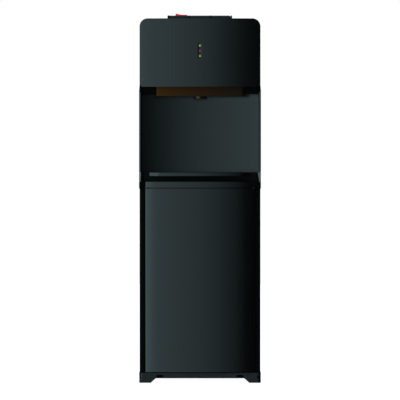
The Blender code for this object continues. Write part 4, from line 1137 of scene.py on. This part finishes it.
def console_fills():
    """Fills between the keys and at their two ends, standing over the console's own walls."""
    slack = 0.00020
    places = [KEYS_LEFT + 0.0004]
    for label in KEY_LABELS:
        low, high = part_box(f"{label}_key")
        places += [low.x - slack, high.x + slack]
    places.append(KEYS_RIGHT - 0.0004)
    for index, (left, right) in enumerate(zip(places[::2], places[1::2])):
        # The fills take painted shade, standing in for the dark gaps between and beside the keys.
        piece = block(f"console_fill_{index}", (left, -0.1450, 0.9570), (right, -0.1062, 0.9648))
        dress(piece, PAINTED_SHADE, "root", edge=0.0002, segments=2)


def child_lock():
    """Red slider whose top dips like a saddle, rising to a thumb lip with grip ridges."""
    low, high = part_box("child_lock")
    rest = 0.9667
    reach = high.x - 0.0020
    start = low.x + 0.0030
    profile = [(low.x, low.z), (high.x, low.z), (high.x, rest - 0.0006)]
    for along in [0.0, *spread(0.0, 1.0, 16), 1.0]:
        profile.append((reach + (start - reach) * along,
                        rest + (high.z - 0.0008 - rest) * along ** 3))
    profile += [(low.x + 0.0020, high.z - 0.0003), (low.x + 0.0012, high.z),
                (low.x + 0.0005, high.z - 0.0002), (low.x, high.z - 0.0010)]
    slider = prism("lock_slider", profile, low.y, high.y, "Y")
    for index in range(4):
        spot = (high.x - 0.0060 - index * 0.0026, (low.y + high.y) / 2, rest + 0.0005)
        cut(slider, bar("ridge", spot, 0.0007, 0.022, "Y", 16))
    dress(slider, RED, "child_lock", "child_lock", 0.0005)


# ---------------------------------------------------------------- bottle seat

def bottle_seat():
    """Funnel with a rolled rim and the bottle spike with its side windows."""
    low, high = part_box("bottle_seat")
    rim = high.x
    funnel = lathe("seat_funnel", [
        (0.0870, high.z - 0.0004), (0.0876, high.z), (rim - 0.0008, high.z),
        (rim - 0.0002, high.z - 0.0003), (rim, high.z - 0.0008), (rim, 0.9540), (0.0905, 0.9540),
        (0.0885, 0.9500), (0.0600, 0.9286), (0.0315, 0.9065), (0.0302, 0.9000), (0.0290, low.z),
        (0.0262, low.z), (0.0270, 0.9000), (0.0285, 0.9080), (0.0570, 0.9298), (0.0852, 0.9514),
        (0.0864, 0.9530),
    ], (0.0, SEAT_Y, 0.0), 96)
    dress(funnel, SATIN, "bottle_seat", "bottle_seat")
    low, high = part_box("bottle_probe")
    top = high.z
    spike = lathe("probe_spike", [
        (0.0070, low.z), (0.0120, low.z), (0.0120, 0.9350), (0.0116, 0.9375), (0.0098, top - 0.0012),
        (0.0090, top - 0.0002), (0.0080, top), (0.0070, top - 0.0008),
    ], (0.0, SEAT_Y, 0.0), 48)
    for facing, middle, depth in (("Y", 0.0, SEAT_Y), ("X", SEAT_Y, 0.0)):
        window = slot_outline(middle - 0.0022, middle + 0.0022, 0.915, 0.932, 0.0020, 6)
        cut(spike, prism("window", window, depth - 0.02, depth + 0.02, facing))
    dress(spike, NATURAL, "bottle_seat", "bottle_probe", 0.0003, 2)
    for side, name in SIDES:
        near, far = sorted((side * 0.0100, side * 0.0260))
        spoke = block(f"probe_spoke_{name}", (near, SEAT_Y - 0.002, 0.8955),
                      (far, SEAT_Y + 0.002, 0.9005))
        dress(spoke, NATURAL, "bottle_seat", edge=0.0005)


# ---------------------------------------------------------------- rear

def condenser():
    """Serpentine condenser on fine upright wires, held by clips on the ribs."""
    low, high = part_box("condenser_coil")
    radius = (high.y - low.y) / 2
    depth = high.y - radius
    runs = 12
    bottom = 0.240
    top = 0.640
    pitch = (top - bottom) / (runs - 1)
    half = 0.112
    route = []
    for run in range(runs):
        level = bottom + pitch * run
        side = 1 if run % 2 == 0 else -1
        route += [(side * half, depth, level), (-side * half, depth, level)]
        if run < runs - 1:
            bend = arc((half, level + pitch / 2), pitch / 2, -90, 90, 15)[1:-1]
            route += [(-side * across, depth, up) for across, up in bend]
    coil = tube("serpentine", route, radius, 14)
    dress(coil, STEEL_BLACK, "root", "condenser_coil")
    wires = bmesh.new()
    for index in range(34):
        spot = (-0.108 + 0.216 * index / 33, low.y - 0.00045, (bottom + top) / 2)
        bmesh.ops.create_cone(wires, cap_ends=True, segments=8, radius1=0.0007, radius2=0.0007,
                              depth=top - bottom + 0.016, matrix=Matrix.Translation(spot))
    dress(new_object("condenser_wires", wires), STEEL_BLACK, "root")
    clips = []
    for side in (-1, 1):
        for run in (0, 5, 11):
            level = bottom + pitch * run
            clips.append(((side * 0.095 - 0.003, low.y - 0.0022, level - 0.0045),
                          (side * 0.095 + 0.003, low.y + 0.0012, level + 0.0045)))
    dress(blocks("condenser_clips", clips), STEEL, "root", edge=0.0004)


def compressor():
    """Domed hermetic can with a weld band, its feet, rubber posts and relay box."""
    x = 0.010
    y = 0.096
    can = lathe("compressor_can", [
        (0.0, 0.188), (0.010, 0.1876), (0.020, 0.1862), (0.030, 0.1823), (0.038, 0.1762),
        (0.0435, 0.1690), (0.047, 0.1602), (0.0481, 0.150), (0.0485, 0.135), (0.0485, 0.1203),
        (0.0497, 0.1196), (0.0500, 0.1185), (0.0500, 0.1125), (0.0497, 0.1114), (0.0485, 0.1107),
        (0.0485, 0.075), (0.0470, 0.064), (0.043, 0.0555), (0.036, 0.0495), (0.030, 0.0463),
        (0.018, 0.0444), (0.0, 0.044),
    ], (x, y, 0.0), 80)
    dress(can, SATIN, "root", "compressor")
    feet = block("compressor_feet", (x - 0.058, y - 0.040, 0.0445), (x + 0.058, y + 0.040, 0.0475))
    dress(feet, SATIN, "root", edge=0.0009)
    post_profile = [
        (0.0, 0.0300), (0.0060, 0.0300), (0.0060, 0.0330), (0.0046, 0.0350), (0.0046, 0.0408),
        (0.0060, 0.0424), (0.0060, 0.0444), (0.0, 0.0444),
    ]
    bolt_profile = [
        (0.0, 0.0474), (0.0042, 0.0474), (0.0042, 0.0496), (0.0034, 0.0504), (0.0, 0.0504),
    ]
    spots = [(x + across, y + along, 0.0) for across in (-0.050, 0.050) for along in (-0.032, 0.032)]
    for index, spot in enumerate(spots):
        dress(lathe(f"rubber_post_{index}", post_profile, spot, 28), RUBBER, "root")
        dress(lathe(f"post_bolt_{index}", bolt_profile, spot, 6), STEEL, "root", edge=0.0003)
    low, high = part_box("compressor_relay")
    dress(block("relay_box", low, high), MATT, "root", "compressor_relay", 0.0022, 4)
    neck = block("relay_neck", (high.x - 0.001, y - 0.010, 0.088),
                 (high.x + 0.0022, y + 0.010, 0.117))
    dress(neck, MATT, "root", edge=0.0004)


def rocker(label, middle):
    """Rocker with a hollow face between raised ends, tipped to its off side."""
    tilt = math.radians(-9.0)
    half = 0.0088
    pivot_y = 0.1525
    pivot_z = 0.720
    ridge = [(0.0040 + 0.0008 * (up / half) ** 2, up)
             for up in [-half, *spread(-half, half, 8), half]]
    ridge += [(-0.0030, 0.0070), (-0.0030, -0.0070)]
    turned = [(pivot_y + out * math.cos(tilt) - up * math.sin(tilt),
               pivot_z + out * math.sin(tilt) + up * math.cos(tilt)) for out, up in ridge]
    piece = prism(f"rocker_{label}", turned, middle - 0.0104, middle + 0.0104, "X")
    material, slot = (RED, "lock_red") if label == "hot" else (GREEN, "lamp_green")
    dress(piece, material, f"{label}_rocker", f"{label}_rocker", 0.0006)


def switches():
    """Switch plate with its two rockers."""
    low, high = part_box("switch_plate")
    bezel = prism("switch_bezel", slot_outline(low.x, high.x, low.z, high.z, 0.003, 8),
                  low.y, high.y, "Y")
    for label in ("hot", "cold"):
        rocker_low, rocker_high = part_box(f"{label}_rocker")
        middle = (rocker_low.x + rocker_high.x) / 2
        cut(bezel, block("opening", (middle - 0.0108, 0.14, 0.7094),
                         (middle + 0.0108, 0.16, 0.7306)))
        rocker(label, middle)
    dress(bezel, MATT, "root", "switch_plate", 0.0008)


def cord_bush():
    """Ribbed rubber bush of the mains inlet."""
    low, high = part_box("cord_inlet")
    start = low.y
    outer = 0.0110
    profile = [
        (0.0042, start), (0.0080, start), (0.0080, start + 0.0033), (outer, start + 0.0033),
        (outer, start + 0.0066), (outer - 0.0006, start + 0.0074), (0.0092, start + 0.0078),
        (0.0092, start + 0.0083), (0.0086, start + 0.0088), (0.0080, start + 0.0088),
        (0.0080, start + 0.0093), (0.0076, start + 0.0098), (0.0070, high.y - 0.0003),
        (0.0062, high.y), (0.0048, high.y), (0.0042, high.y - 0.0006),
    ]
    centre = ((low.x + high.x) / 2, 0.0, (low.z + high.z) / 2)
    dress(lathe("cord_bush", profile, centre, 56, "Y"), RUBBER, "root", "cord_inlet")


def drain_knob():
    """Knurled cap of the rear drain."""
    low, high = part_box("drain_cap")
    centre = (low + high) / 2
    outer = high.x - centre.x
    profile = [(0.0054, low.y), (outer, low.y), (outer, high.y - 0.0022),
               (outer - 0.0004, high.y - 0.0010), (0.0068, high.y), (0.0, high.y),
               (0.0, high.y - 0.0040), (0.0054, high.y - 0.0040)]
    sides = 80
    rings = []
    for step in range(sides):
        turn = 2 * math.pi * step / sides
        groove = 0.00035 if step % 4 < 2 else 0.0
        ring = []
        for radius, back in profile:
            reach = radius - (groove if radius > 0.0080 else 0.0)
            ring.append((centre.x + reach * math.cos(turn), back,
                         centre.z + reach * math.sin(turn)))
        rings.append(ring)
    knob = skin("drain_knob", rings, closed=True)
    dress(knob, MATT, "drain_cap", "drain_cap", 0.00015, 2)


# ---------------------------------------------------------------- pieces kept from the frame

# Material, edge rounding and the nodes that share them.
KEPT = [
    # Painted shade on the hinge pins and the key console, seen only through gaps.
    (PAINTED_SHADE, 0.0003, "hinge_pin_bottom hinge_pin_top key_console"),
    (RUBBER, 0.0004, "catch_magnet"),
    (STEEL_FLAT, 0.0003, "catch_strike"),
    (STEEL_FLAT, 0.0006, "compressor_carrier"),
    (NATURAL, 0.0, "hot_stem normal_stem cold_stem"),
    (NATURAL, 0.0004, "hot_valve normal_valve cold_valve"),
    (NATURAL, 0.0008, "outlet_manifold"),
    (STEEL, 0.0002, "key_shaft"),
    (STEEL, 0.0, "cold_tank hot_tank"),
    (COPPER, 0.0, "evaporator_coil discharge_pipe suction_pipe"),
    (FOAM, 0.0, "cold_tank_jacket"),
    (BRASS, 0.0003, "heater_band"),
    (SILICONE, 0.0, "hot_hose cold_hose drain_pipe"),
]


def smoother():
    """Node group that welds, then shades smooth but for edges sharper than 35 degrees."""
    group = bpy.data.node_groups.new("smooth_by_angle", "GeometryNodeTree")
    for way in ("INPUT", "OUTPUT"):
        group.interface.new_socket("Geometry", in_out=way, socket_type="NodeSocketGeometry")
    tree = Tree(group)
    clean = tree.add("GeometryNodeRemoveAttribute", {
        "Geometry": tree.add("NodeGroupInput"), "Name": "custom_normal",
    })
    welded = tree.add("GeometryNodeMergeByDistance", {"Geometry": clean, "Distance": 0.000005})
    smooth = tree.add("GeometryNodeSetShadeSmooth", {"Geometry": welded, "Shade Smooth": True},
                      domain="FACE")
    angle = tree.add("GeometryNodeInputMeshEdgeAngle", output="Unsigned Angle")
    sharp = tree.add("FunctionNodeCompare", {"A": angle, "B": math.radians(35)},
                     data_type="FLOAT", operation="GREATER_THAN")
    split = tree.add("GeometryNodeSetShadeSmooth", {
        "Geometry": smooth, "Selection": sharp, "Shade Smooth": False,
    }, domain="EDGE")
    tree.add("NodeGroupOutput", {0: split})
    return group


def kept_nodes():
    """Frame nodes shown as they are, with a material and softened edges."""
    group = smoother()
    for material, edge, names in KEPT:
        for name in names.split():
            piece = bpy.data.objects[name]
            piece.data.materials.clear()
            piece.data.materials.append(material)
            piece.modifiers.new("smooth", "NODES").node_group = group
            if edge:
                round_edges(piece, edge, 2)


for make in (
    front_panel, lamps, niche, nozzle, tray_housing, drip_tray, grille, door, door_inside,
    gasket, cabinet, base, side_panels, top_cover, back_panel, keys, console_fills, child_lock,
    bottle_seat, condenser, compressor, switches, cord_bush, drain_knob, kept_nodes,
):
    make()
